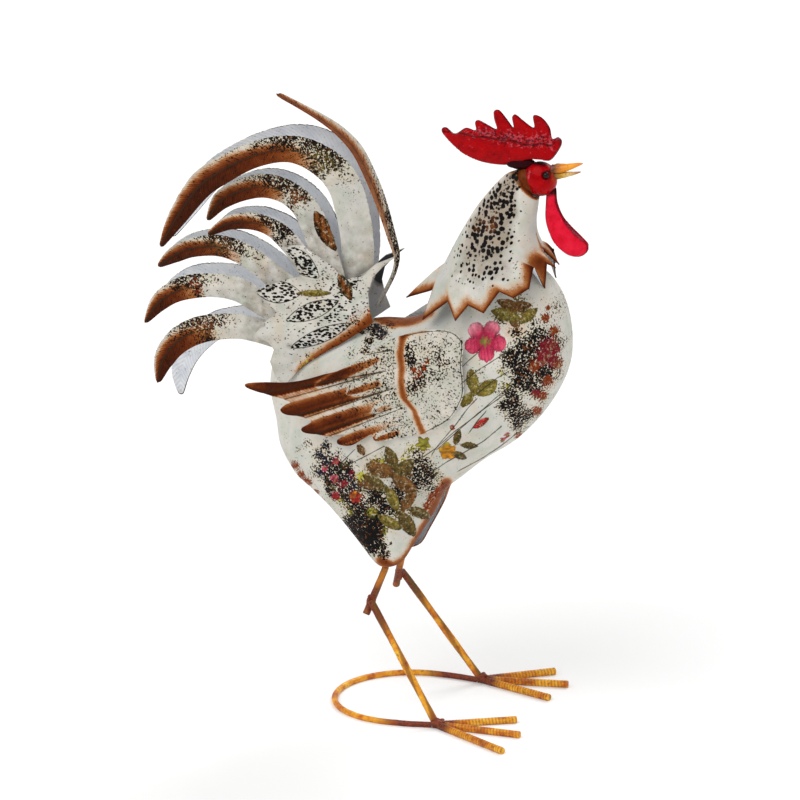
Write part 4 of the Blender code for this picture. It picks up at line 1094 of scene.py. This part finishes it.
def makeCentreSickle(name):
    piece, curve, ahead, i, share, across, half = featherLine(name, sickle["centre"], sickle["steps"])
    roof = 1 - np.abs(across) ** feathers["roofPower"]
    high = sickle["centreRidge"] * rising(share) * roof
    writePoints(piece, curve[i, 0] + ahead[i, 1] * high, half * across, curve[i, 1] - ahead[i, 0] * high)
    paintFeather(piece, share, across, half, curve, i, 0.74, burnt=0.62)
    mergeNear(piece)
    giveThickness(piece)
    piece.data.materials[1] = enamel  # painted on both faces
    shadeSoft(piece)
    return piece


setUp(makeCentreSickle("centreSickle"), "brown_paint", "sickle_centre")
print("tail")

# Coverts
covert = {
    "outline": [
        (-50, 374), (-66, 366.5), (-76, 357), (-85, 350), (-97, 357), (-112, 368), (-128, 375),
        (-143, 375), (-133, 362), (-128, 351), (-141, 347), (-154, 342), (-164, 336), (-156, 329),
        (-146, 321), (-156, 312), (-164, 301), (-152, 297), (-147, 291), (-150, 281), (-145, 269),
        (-137, 263), (-127, 275), (-116, 284), (-104, 293), (-91, 301), (-77, 311), (-65.5, 320),
        (-69, 331), (-71, 344), (-67.5, 356), (-60, 365),
    ],
    "axes": [((-143, 375), (-92, 336)), ((-164, 336), (-100, 322)), ((-164, 301), (-104, 310)),
             ((-137, 264), (-88, 308)), ((-50, 373), (-80, 330))],
    "slant": [(262, 30), (300, 27), (330, 21), (350, 16), (366, 13), (375, 10)],
    "spacing": 1.3, "ridge": 1.3, "smoothing": 8, "overBody": 1.0, "overFan": 1.2,
    "groups": [((-143, 366), (-112, 340), 17), ((-164, 330), (-126, 328), 18), ((-139, 306), (-96, 322), 14),
               ((-136, 284), (-86, 304), 12), ((-98, 366), (-82, 330), 12)],  # leaf-shaped clusters of dashes
    "spots": {"rust": [(-100, 362, 5, 0.9), (-95, 350, 5, 1.0), (-96, 376, 5, 0.8), (-84, 306, 6, 0.8),
                       (-72, 314, 5, 0.8)],
              "black": [(-90, 342, 6, 0.6), (-118, 362, 6, 0.5), (-104, 370, 6, 0.7), (-84, 350, 5, 0.5)],
              "yellow": [(-120, 276, 6, 0.6), (-124, 268, 5, 0.6)]},
    "band": [(-62, 314), (-68, 309), (-80, 298), (-96, 287), (-113, 276), (-125, 265)],
}


def ridges(x, z, axes, reach):
    best = np.zeros(len(x))
    for (tipX, tipZ), (rootX, rootZ) in axes:
        d = np.array([rootX - tipX, rootZ - tipZ], float)
        share = held(((x - tipX) * d[0] + (z - tipZ) * d[1]) / (d @ d))
        away = np.hypot(x - tipX - share * d[0], z - tipZ - share * d[1])
        best = np.maximum(best, held(1 - away / reach) * held(1.15 - share))
    return best


def makeCovert(name, side):
    word = sideWord[side]
    piece, x, z, edge = fillOutline(name, covert["outline"], covert["spacing"])
    slant = np.array(covert["slant"], float)
    vein = ridges(x, z, covert["axes"], 9)
    writePoints(piece, x, side * (np.interp(z, slant[:, 0], slant[:, 1]) + covert["ridge"] * vein), z)
    faceOut(piece, side)
    liftOff(piece, skins[f"bodyShell_{word}"], sheetThickness + covert["overBody"])
    liftOff(piece, skins[f"tailFan_{word}Side"], sheetThickness + covert["overFan"])
    smoothInside(piece, covert["smoothing"])
    at = drawnPoints(piece)
    writePoints(piece, at[:, 0], at[:, 1] + side * covert["ridge"] * vein * 0.6, at[:, 2])
    a, b = onTransfer(piece, side)
    motifs = Motifs(a, b)
    motifs.leaf("leaf", (-131, 328), (-101, 328), 5.5)
    motifs.diamond("amber", (-97, 344), (-86, 322), 4)
    dashes = 0.3 + 0.45 * np.exp(-(((a + 102) / 30) ** 2 + ((b - 316) / 28) ** 2))
    outline = np.full(len(a), 9.0)
    for tip, root, width in covert["groups"]:
        away = leafDistance(a, b, tip, root, width)[0]
        dashes = np.where(away < 0, 0.86, np.where(away < 1.5, 0.0, dashes))
        outline = np.where(np.abs(away) < np.abs(outline), away, outline)
    density, tint = sprinkle(a, b, covert["spots"])
    band = np.abs(lineDistance(a, b, covert["band"]))
    # darker near its outline
    keepFields(piece, tint, motifs.colour, dashes=dashes, speck=density + 0.14, stem=outline + 0.35,
               stemNear=np.abs(outline) + 0.4, shadow=1.2 * held((x + 84) / 10) * held((z - 334) / 12),
               cover=motifs.cover, brown=0.95 * near(band, 6.2), grime=0.15 + 0.25 * np.exp(-edge / 2))
    giveThickness(piece)
    shadeSoft(piece)
    return piece


for side, word in sides:
    setUp(makeCovert(f"covertSheet_{word}", side), "white_paint", f"covert_{word}")
print("coverts")

# Wings
wing = {
    "outline": [
        (-14, 329), (5, 332), (16, 329), (21.5, 321), (21, 305), (22.5, 290), (22, 278), (16, 265),
        (9, 256), (-2, 248.5), (-12, 243), (-30, 238), (-48, 233.5), (-53, 234), (-55, 238), (-62, 234),
        (-72, 227.5), (-82, 227), (-84, 230.5), (-78, 236), (-92, 232.5), (-103, 233), (-112, 234),
        (-114, 237.5), (-106, 244), (-118, 246.5), (-128, 247.5), (-132, 251), (-128, 255.5),
        (-124, 258.5), (-140, 261), (-154, 264.5), (-161, 267), (-160.5, 270), (-146, 272.5), (-128, 274),
        (-113, 277.5), (-96, 284), (-79, 291), (-60, 304), (-42, 317), (-29, 323.5),
    ],
    "axes": [((-158, 268), (-28, 305)), ((-130, 251), (-28, 290)), ((-112, 237.5), (-28, 274)),
             ((-82, 229), (-22, 258)), ((-52, 236), (-16, 250))],
    "second": [((-103, 273.5), (-35, 310), 10), ((-76, 270.5), (-34, 288), 9), ((-54, 257), (-27, 268.5), 8),
               ((-51, 234.5), (-27, 245), 8)],
    "y": 56, "lean": (-60, 0.02), "ridge": 2.4, "overlap": 1.1, "clearance": 0.8, "halfFeather": 8.5,
    "capDome": 4.5, "capRim": 1.5, "domeMiddle": (-2, 290), "domeReach": (34, 48),
    "capRear": [(-13, 244), (-16, 250.6), (-20, 262), (-29, 271.6), (-31.5, 284.5), (-30.5, 297), (-32, 310),
                (-30, 323)],
    "spacing": 1.2,
    "spots": {"black": [(-42, 282, 6, 0.8), (-40, 274, 6, 0.7), (-40, 252, 5, 0.6), (-33, 256, 6, 0.6),
                        (-26, 262, 9, 0.3), (-20, 280, 9, 0.3), (-12, 270, 8, 0.3)],
              "rust": [(-33, 264, 2.6, 0.9), (-29, 268, 2.4, 0.9), (-26, 273, 2.2, 0.9), (-37, 267, 2, 0.8),
                       (-35, 260, 2, 0.8)],
              "olive": [(-44, 288, 4, 0.5)]},
}


def roundedOff(outline, steps=5):
    closed = np.vstack([outline[-1:], outline, outline[:2]])
    return np.vstack([smoothLine(closed[k:k + 4], steps)[steps:2 * steps] for k in range(len(outline))])


def makeWing(name, side):
    piece, x, z, edge = fillOutline(name, roundedOff(np.array(wing["outline"], float)), wing["spacing"])
    leanFrom, lean = wing["lean"]
    base = wing["y"] + lean * np.minimum(0, x - leanFrom)
    spread = domed(x, z, wing["domeMiddle"], wing["domeReach"])
    dome = wing["capRim"] + wing["capDome"] * (1 - spread ** 2)
    nearest = np.full(len(x), 99.0)
    above = np.zeros(len(x))
    for (tipX, tipZ), (rootX, rootZ) in wing["axes"]:
        height = z - tipZ - (rootZ - tipZ) / (rootX - tipX) * (x - tipX)
        above = np.where(np.abs(height) < nearest, height, above)
        nearest = np.minimum(nearest, np.abs(height))
    feather = wing["ridge"] * np.sqrt(held(1 - (nearest / wing["halfFeather"]) ** 2))
    rear = np.array(wing["capRear"], float)
    capEdge = np.interp(z, rear[:, 1], rear[:, 0])
    cap = held((x - capEdge) / 1.6 + 0.5)
    over = np.zeros(len(x))
    inset = np.full(len(x), 9.0)
    for tip, root, width in wing["second"]:
        away, t, _ = leafDistance(x, z, tip, root, width, 0.45)
        inset = np.where(t < 0.8, np.minimum(inset, away), inset)
        over = np.maximum(over, held(0.5 - away / 1.2) * held(1.4 - 1.2 * t))
    y = base + (feather + wing["overlap"] * over) * (1 - cap) + dome * cap
    writePoints(piece, x, side * y, z)
    faceOut(piece, side)
    liftOff(piece, skins[f"bodyShell_{sideWord[side]}"], sheetThickness + wing["clearance"])
    a, b = onTransfer(piece, side)
    behind = capEdge - x
    along = held(behind / 100)
    tipBrownAndShade = np.interp(behind, [10, 30, 50, 70, 110, 130], [0, 0.32, 0.85, 1.05, 1.0, 0.9])
    tipBrownAndShade += 0.3 * held(1 - edge / 5) * held((behind - 20) / 20) * (above < 1)
    rims = held((behind - 8) / 20) * held((112 - behind) / 30)
    tipBrownAndShade -= 0.3 * held(1 - (nearest - 5.8) ** 2 / 4) * rims
    # painted light and shade: each feather lighter above its middle line and darker below it, mixed into the
    # brown of the tips
    shaded = 0.55 * held((above - 0.5) / 4) - 0.25 * held((-above - 0.5) / 4)
    tipBrownAndShade -= shaded * held((behind - 20) / 30)
    tipBrownAndShade += 0.35 * held(-inset / 2.5) * (behind > 16) - 0.6 * near(inset, 1.3) * (behind > 12)
    band = near(behind + 1.2, 3.7)
    band += 0.55 * near(edge, 3.2) * held((x + 34) / 3) * held((-4 - x) / 10) * (z > 310)
    density, tint = sprinkle(a, b, wing["spots"])
    density += 0.68 * (behind > 4) * np.clip(1.3 - behind / 75, 0.1, 1) + 0.5 * (behind < 0)
    density *= 1 - 0.9 * band
    keepFields(piece, tint, brown=np.clip(tipBrownAndShade, 0, 1.3) * (behind > 0) + 0.75 * band,
               speck=np.clip(density, 0, 1.2),
               stem=np.where(behind > 6, np.where(nearest > 3.5, nearest - 8.2, 9),
                             np.where(behind < -3, edge - 1.2, 9)),
               barb=x + nearest, barbs=np.where(behind > 0, np.clip(along * 1.6, 0, 0.8), 0), grime=0.2)
    giveThickness(piece)
    shadeSoft(piece)
    return piece


for side, word in sides:
    setUp(makeWing(f"wingSheet_{word}", side), "brown_paint", f"wing_{word}")
print("wings")

# Comb and wattles
comb = {
    "outline": [
        (-15, 480), (-14, 475.5), (-5, 467), (5, 460.2), (19, 455.4), (36, 454.6), (48, 457), (58, 461.4),
        (68, 461.8), (76, 462.4), (83.5, 473), (85, 479), (82, 482), (77, 480.4), (75, 489), (69.5, 496),
        (63.5, 498.6), (60.8, 496.6), (61.6, 488), (53, 493), (46.4, 497.5), (43.4, 494.5), (44.6, 486.6),
        (38.5, 494), (32.5, 500), (28.2, 498), (28.8, 491), (30.5, 484), (22, 487.5), (15.5, 490),
        (12.6, 487.5), (13, 481.4), (5, 482.6), (-4, 477), (-11, 481.4),
    ],
    "crease": [(-16, 478), (1, 479), (14, 477.4), (23, 477.8), (34, 476.4), (45, 477), (52, 475), (61, 474.4),
               (68, 476.6), (77, 475), (82, 480)],
    "half": 5.2, "blade": 1.4, "rounding": 1.6, "spacing": 0.9,
    "rear": (-16, 26), "front": (86, 20), "keel": (453, 18), "creaseStep": (0.8, 1.2),
}
wattle = {
    "outline": [
        (73.5, 438), (79.5, 440), (81, 428), (85.5, 417), (93, 408), (101, 401), (106.5, 396), (107, 391),
        (104, 386.6), (98, 384.4), (91, 385.4), (84, 390), (78.5, 396), (74.4, 404), (72, 413), (72, 424),
    ],
    "inner": 0.6, "thick": 1.8, "dome": 3.6, "domeMiddle": (91, 399), "domeReach": (15, 17),
    "stem": (77, 7, 1.2), "rounding": (1.5, 2.5), "spacing": 0.8,
}


def roundedEdge(edge, radius):
    return np.sqrt(1 - (1 - held(edge / radius)) ** 2)


def twoFaced(name, outline, spacing, faces, looks, paint):
    soft = roundedOff(outline)
    parts = []
    for which in (0, 1):
        piece, x, z, edge = fillOutline(f"{name}_{which}", soft, spacing)
        writePoints(piece, x, faces(x, z, edge)[which], z)
        keepField(piece, "edge", edge)
        for field, values in looks(x, z, edge).items():
            keepField(piece, field, np.broadcast_to(values, len(x)))
        parts.append(piece)
    piece = join(name, *parts)
    mergeNear(piece, 2e-5)
    coat(piece, paint)
    shadeSoft(piece, 60)
    return piece


def creaseAt(x):
    return np.interp(x, *np.array(comb["crease"], float).T)


def combFaces(x, z, edge):
    (rear, rearRun), (front, frontRun), (keel, keelRun) = comb["rear"], comb["front"], comb["keel"]
    ends = held(np.minimum((x - rear) / rearRun, (front - x) / frontRun))
    low = held((z - keel) / keelRun)
    hull = comb["blade"] + (comb["half"] - comb["blade"]) * ends * np.sin(low * math.pi / 2)
    lift, softness = comb["creaseStep"]
    over = held((creaseAt(x) + lift - z) / softness + 0.5)
    half = (comb["blade"] + (hull - comb["blade"]) * over) * roundedEdge(edge, comb["rounding"])
    return -half, half


def combLooks(x, z, edge):
    rows = np.abs(z - creaseAt(x) - 2.5)
    # painted shade where the comb meets the head and under the crease
    soot = near(x - 52, 14) * held((462 - z) / 5) + 0.7 * near(z - creaseAt(x), 0.9)
    # pale band above the crease: worn paint and a painted highlight
    return {"rimmed": 0.85, "pale": held(1 - rows / 9) * held((x + 2) / 20), "soot": held(soot)}


def wattleLooks(x, z, edge):
    # darker towards the top
    return {"rimmed": 0.9, "pale": 0.0, "soot": np.clip((z - 430) / 8, 0, 0.8)}


def wattleFaces(x, z, edge):
    spread = domed(x, z, wattle["domeMiddle"], wattle["domeReach"])
    stemX, stemReach, stemHigh = wattle["stem"]
    stem = held(1 - np.abs(x - stemX) / stemReach) * stemHigh
    back, front = wattle["rounding"]
    outer = (wattle["thick"] + wattle["dome"] * np.sqrt(1 - spread ** 2) + stem) * roundedEdge(edge, front)
    inner = wattle["inner"] + (wattle["thick"] / 2) * (1 - roundedEdge(edge, back))
    return inner, inner + outer


setUp(twoFaced("combBlade", np.array(comb["outline"], float), comb["spacing"], combFaces, combLooks, red),
      "red_paint", "comb")
for side, word in sides:
    piece = twoFaced(f"wattleDrop_{word}", np.array(wattle["outline"], float), wattle["spacing"],
                     lambda x, z, edge, side=side: tuple(side * y for y in wattleFaces(x, z, edge)),
                     wattleLooks, crimson)
    setUp(piece, "red_paint", f"wattle_{word}")
print("comb and wattles")

# Head, eyes and beak
head = {"at": (67, 0, 446), "radii": (14, 11.5, 14), "eye": (74.5, 452), "eyeRadius": 2.6, "dents": 0.25,
        "lid": (4.0, 0.9, 0.35), "socket": (2.9, 0.9)}
beak = {
    "upper": [(76, 454.6, 4.6), (80, 455.2, 4.4), (84, 456, 3.8), (91, 458, 2.9), (97, 460.2, 1.8),
              (100.5, 461.4, 1.0), (102.5, 462, 0.35)],
    "lower": [(75, 450.2, 3.3), (80, 450.3, 3.1), (84, 450.6, 2.7), (92, 452.4, 1.9), (97, 453.8, 1.2),
              (99.5, 454.6, 0.8), (101, 455, 0.3)],
    "breadth": 5 / 4.6, "mouth": ([76, 90, 101], [2.6, 2.0, 0.15]),
    "seam": [(76, 452.6), (91, 453.4), (96, 456), (103, 459)],
}


def addBall(name, at, radii, rings):
    deselectAll()
    bpy.ops.mesh.primitive_uv_sphere_add(segments=rings * 2, ring_count=rings, radius=1)
    ball = bpy.context.object
    ball.name = ball.data.name = name
    return ball, readPoints(ball) * np.array(radii) + np.array(at)


def lumps(at, size, seed):
    rng = np.random.default_rng(seed)
    total = np.zeros(len(at))
    for _ in range(7):
        turn = rng.normal(size=3)
        total += np.sin(at @ (turn / np.linalg.norm(turn)) * 2 * math.pi / size + rng.uniform(0, 6.28))
    return total / 4


def makeHead(name):
    piece, at = addBall(name, head["at"], head["radii"], 40)
    out = at - np.array(head["at"])
    out /= np.linalg.norm(out, axis=1)[:, None]
    at = at + out * (lumps(at, 16, 3) * head["dents"])[:, None]
    eyes = np.hypot(at[:, 0] - head["eye"][0], at[:, 2] - head["eye"][1]) + 9 * (np.abs(at[:, 1]) < 3)
    (lid, lidReach, lidHigh), (socket, socketDeep) = head["lid"], head["socket"]
    at = at + out * (lidHigh * near(eyes - lid, lidReach) - socketDeep * (eyes < socket))[:, None]
    writePoints(piece, *at.T)
    away = np.abs(at[:, 1]) / head["radii"][1]
    # painted shade on top under the comb and at the back against the collar, and a dark ring round the eye
    soot = held((at[:, 2] - 456.5) / 4) + 0.75 * held((57.5 - at[:, 0]) / 4) + 0.7 * near(eyes - 3, 0.7)
    # painted shade: the edge value is made small under the head, so its underside darkens like a rim
    keepField(piece, "edge", 9 - 12 * held((440 - at[:, 2]) / 6) * (1 - 0.3 * away))
    keepField(piece, "rimmed", np.full(len(at), 0.9))
    # painted highlight on the upper back of the head
    keepField(piece, "pale", 0.9 * near(at[:, 0] - 60.5, 2.2, at[:, 2] - 452, 4))
    keepField(piece, "soot", held(soot))
    keepField(piece, "ochre", near(at[:, 0] - 81, 3.0, at[:, 2] - 453, 5))
    coat(piece, red)
    shadeSoft(piece)
    return piece


def makeEye(name, side):
    x, z = head["eye"]
    middle, radii = head["at"], head["radii"]
    rest = math.sqrt(1 - ((x - middle[0]) / radii[0]) ** 2 - ((z - middle[2]) / radii[2]) ** 2)
    piece, at = addBall(name, (x, side * radii[1] * rest, z), [head["eyeRadius"]] * 3, 16)
    writePoints(piece, *at.T)
    coat(piece, eyeBlack)
    shadeSoft(piece)
    return piece


def makeHorn(name, line, flatSide, paint):
    curve = smoothLine(line, 8)
    count, around = len(curve) - 1, 28
    piece, u, v = addGrid(name, count, around)
    i = np.rint(u * count).astype(int)
    turn = 2 * math.pi * v
    radius = curve[i, 2] * held(i / 1.5)
    up = np.sin(turn) * radius
    seam = np.array(beak["seam"], float)
    part = np.interp(curve[i, 0], seam[:, 0], seam[:, 1]) - curve[i, 1] - 0.1 * flatSide
    if flatSide < 0:
        up = np.maximum(up, np.minimum(part, 0))
    else:
        up = np.minimum(up, np.interp(curve[i, 0], *beak["mouth"]))
    places = np.stack([curve[i, 0], np.cos(turn) * 4, up], axis=1)
    bumps = 0.12 * lumps(places, 5, 8) * held((98 - curve[i, 0]) / 8)
    writePoints(piece, curve[i, 0], np.cos(turn) * radius * beak["breadth"], curve[i, 1] + up * (1 + bumps))
    mergeNear(piece, 1e-5)
    coat(piece, paint)
    shadeSoft(piece, 65)
    return piece


setUp(makeHead("headBall"), "red_paint", "head")
# The second piece is a near-black red lump between the comb and the head, standing for the shadow where they
# meet
for name, slot, spot, radii, paint, fields in (
    ("neckCollar", "brown_paint", (56.5, 0, 442.5), (10.5, 11.0, 12.0), enamel, {"brown": 1.0, "speck": 0.35}),
    ("combShadowSeat", "red_paint", (51, 0, 457.5), (13, 4.6, 5.5), red, {"edge": 9, "soot": 0.95}),
):
    piece, at = addBall(name, spot, radii, 24)
    writePoints(piece, *(at + (at - np.array(spot)) / np.array(radii) * (0.3 * lumps(at, 6, 5))[:, None]).T)
    if paint == enamel:
        keepFields(piece, **fields)
    else:
        for field, value in fields.items():
            keepField(piece, field, np.full(len(at), value))
    coat(piece, paint)
    shadeSoft(piece)
    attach(piece, "root")
for side, word in sides:
    setUp(makeEye(f"eyeBead_{word}", side), "eye_paint", f"eye_{word}")
setUp(makeHorn("beakHorn_upper", beak["upper"], -1, upperHorn), "beak_paint", "beak_upper")
setUp(makeHorn("beakHorn_lower", beak["lower"], 1, lowerHorn), "beak_paint", "beak_lower")
print("head, eyes and beak")

# Rods of the legs, toes and ground loop, with the weld beads that hold them
rods = {
    "radius": 3.0, "loopRadius": 2.4, "stance": 59, "kneeZ": 90, "clear": 0.6, "ground": -2.6,
    "thigh": [(-66, 39, 80), (-60.5, 30.5, 97.5), (-55, 22, 115), (-54, 23.5, 124), (-52, 30, 142)],
    "toeLength": 71,
    "toes": {"right": {"middle": (1.0, -2.5), "inner": (0.92, 29), "outer": (1.17, -33)},
             "left": {"middle": (1.0, 8), "inner": (1.0, -22), "outer": (0.89, 37)}},
    "loop": {"reach": 102, "bulge": 4, "steps": 14},
    "twist": {"shank": (2, 96, 0.12, 1.15), "thigh": (2, 90, 0.08, 0.9), "toe": (1, 2.7, 0.05, 0.85),
              "loop": (1, 60, 0.02, 0.25)},
    "around": 26, "spacing": 0.7, "softening": 10,
    "dents": ((0.022, 7), (0.012, 2.5)), "beadDents": (0.28, 4.5),
}


def makeRod(name, points, radius, twist, dark, lowest=None, seed=0):
    lobes, pitch, depth, stained = twist
    points = np.array(points, float)
    lengths = np.concatenate([[0], np.cumsum(np.linalg.norm(np.diff(points, axis=0), axis=1))])
    stops = np.linspace(0, lengths[-1], max(8, int(lengths[-1] / rods["spacing"])))
    line = np.stack([np.interp(stops, lengths, points[:, n]) for n in range(3)], axis=1)
    for _ in range(rods["softening"]):
        line[1:-1] = (line[:-2] + line[2:]) / 4 + line[1:-1] / 2
    stops = np.concatenate([[0, 0], stops, stops[-1:], stops[-1:]])
    line = np.vstack([line[:1], line[:1], line, line[-1:], line[-1:]])
    swell = np.ones(len(stops))
    swell[[0, -1]], swell[[1, -2]], swell[[2, -3]] = 0, 0.72, 0.9
    count = len(stops) - 1
    ahead = np.gradient(line, axis=0)
    ahead[[0, 1]], ahead[[-1, -2]] = ahead[3], ahead[-4]
    ahead /= np.linalg.norm(ahead, axis=1)[:, None]
    across = np.cross(ahead, (0, 0, 1.0))
    weak = np.linalg.norm(across, axis=1) < 0.05
    across[weak] = (0, 1, 0)
    across /= np.linalg.norm(across, axis=1)[:, None]
    upward = np.cross(across, ahead)
    piece, u, v = addGrid(name, count, rods["around"])
    i = np.rint(u * count).astype(int)
    turn = 2 * math.pi * v
    ridge = 0.5 + 0.5 * np.cos(lobes * turn + 2 * math.pi * stops[i] / pitch * lobes)
    around = np.stack([stops[i], np.cos(turn) * radius, np.sin(turn) * radius], axis=1)
    r = 1 - depth * (1 - ridge)
    for n, (high, size) in enumerate(rods["dents"]):
        r = r + high * lumps(around, size, seed + n)
    r = radius * swell[i] * r
    at = line[i] + across[i] * (np.cos(turn) * r)[:, None] + upward[i] * (np.sin(turn) * r)[:, None]
    if lowest is not None:
        at[:, 2] = np.maximum(at[:, 2], lowest)
    writePoints(piece, *at.T)
    keepField(piece, "groove", (1 - ridge) * stained)
    keepField(piece, "knot", dark(stops[i], at))
    mergeNear(piece, 1e-6)
    coat(piece, rust)
    shadeSoft(piece, 60)
    return piece


def makeBead(name, at, radii, seed):
    piece, places = addBall(name, at, radii, 20)
    out = places - np.array(at)
    high, size = rods["beadDents"]
    writePoints(piece, *(places + out * (high * lumps(places, size, seed))[:, None]).T)
    places = drawnPoints(piece)
    writePoints(piece, places[:, 0], places[:, 1], np.maximum(places[:, 2], rods["ground"]))
    keepField(piece, "groove", np.full(len(places), 0.3))
    keepField(piece, "knot", np.full(len(places), 0.9))
    coat(piece, rust)
    shadeSoft(piece, 60)
    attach(piece, "root")
    return piece


for side, word in sides:
    thigh = [(x, side * y, z) for x, y, z in rods["thigh"]]
    stub, bend = np.array(thigh[0]), np.array(thigh[2])
    down = (stub - bend) / np.linalg.norm(stub - bend)
    knee = bend + down * ((bend[2] - rods["kneeZ"]) / -down[2])
    ankle = np.array([0, side * rods["stance"], 0.0])
    beside = np.cross(down, ankle - knee)
    beside *= math.copysign(1, beside[0]) / np.linalg.norm(beside)
    top = knee + beside * (2 * rods["radius"] + rods["clear"])
    foot = ankle + (top - ankle) / (top - ankle)[2] * (rods["radius"] + 0.3)
    span = float(np.linalg.norm(top - foot))
    setUp(makeRod(f"thighRod_{word}", thigh, rods["radius"], rods["twist"]["thigh"],
                  lambda s, at: 0.5 + 0.5 * near(s - 13, 9) + 0.4 * held((s - 40) / 12), seed=side + 2),
          "rod_paint", f"thigh_rod_{word}")
    setUp(makeRod(f"shankRod_{word}", [top, foot], rods["radius"], rods["twist"]["shank"],
                  lambda s, at, span=span: np.clip(1.1 - s / 46, 0.12, 1) + 0.5 * held((s - span + 12) / 12),
                  seed=side + 5), "rod_paint", f"shank_{word}")
    for k, (toe, (length, degrees)) in enumerate(rods["toes"][word].items()):
        angle = math.radians(degrees)
        along = np.array([math.cos(angle), math.sin(angle), 0])
        start = ankle - along * rods["radius"] if toe == "middle" else ankle + along * rods["radius"] * 1.2
        end = ankle + along * rods["toeLength"] * length
        setUp(makeRod(f"toeRod_{word}_{toe}", [start, (start + end) / 2, end], rods["radius"],
                      rods["twist"]["toe"], lambda s, at: 0.95 * near(s, 17), rods["ground"],
                      seed=side * 3 + k + 9), "rod_paint", f"toe_{word}_{toe}")
    makeBead(f"ankleWeld_{word}", ankle + np.array([1.0, 0, 1.5]), (5.6, 4.8, 3.6), side + 20)
    makeBead(f"kneeWeld_{word}", (knee + top) / 2, (3.6, 3.2, 5.0), side + 30)

loop = rods["loop"]
loopSide = rods["stance"] + loop["bulge"]
arc = min(loopSide, loop["reach"] * 0.6)
loopZ = rods["loopRadius"] - rods["radius"]
path = []
for i in range(loop["steps"] * 4 + 1):
    turn = math.pi * i / loop["steps"] / 4
    path.append((-(loop["reach"] - arc) - arc * math.sin(turn), -loopSide * math.cos(turn), loopZ))
start = (-rods["radius"] * 1.3 - 0.3, -rods["stance"], loopZ)
bend = (start[0] / 2 + path[0][0] / 2, -rods["stance"] - loop["bulge"] * 0.8, loopZ)
path = [start, bend, *path, (bend[0], -bend[1], bend[2]), (start[0], -start[1], start[2])]
setUp(makeRod("groundLoop", path, rods["loopRadius"], rods["twist"]["loop"],
              lambda s, at: held(1.1 - (at[:, 0] + 62) / -52 * 1.2) * held((at[:, 0] + 62) / 40),
              rods["ground"], seed=40), "rod_paint", "base_loop")
print("rods")

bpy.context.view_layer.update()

# Floor, light and camera
deselectAll()
bpy.ops.mesh.primitive_plane_add(size=30)
floor = bpy.context.object
floor.name = "floor"
floor.data.materials.append(paleFloor())

camera = {"azimuth": 18, "elevation": 17.8, "distance": 12.0, "lens": 675, "target": (-50, 0, 250)}
deselectAll()
bpy.ops.object.camera_add()
eye = bpy.context.object
turn, tilt = math.radians(camera["azimuth"]), math.radians(camera["elevation"])
away = Vector((math.sin(turn) * math.cos(tilt), -math.cos(turn) * math.cos(tilt), math.sin(tilt)))
target = Vector(ankles + np.array(camera["target"]) / 1000)
eye.location = target + away * camera["distance"]
eye.rotation_euler = away.to_track_quat("Z", "Y").to_euler()
eye.data.lens = camera["lens"]
eye.data.clip_end = 100
bpy.context.scene.camera = eye

studio = {
    "key": ((-1.3, -2.2, 3.6), 3.4, 100), "fill": ((3.0, -2.0, 1.6), 2.5, 18),
    "back": ((0.5, 3.0, 3.0), 2.0, 55),
}
middle = Vector((0, 0, 0.25))
for name, (spot, size, power) in studio.items():
    bpy.ops.object.light_add(type="AREA", location=spot)
    lamp = bpy.context.object
    lamp.name = name
    lamp.data.size, lamp.data.energy = size, power
    lamp.rotation_euler = (Vector(spot) - middle).to_track_quat("Z", "Y").to_euler()
world = bpy.data.worlds.new("studio")
world.use_nodes = True
sky = world.node_tree.nodes["Background"].inputs
sky["Color"].default_value, sky["Strength"].default_value = (0.985, 0.99, 1, 1), 0.61
bpy.context.scene.world = world
bpy.context.scene.view_settings.view_transform = "Standard"
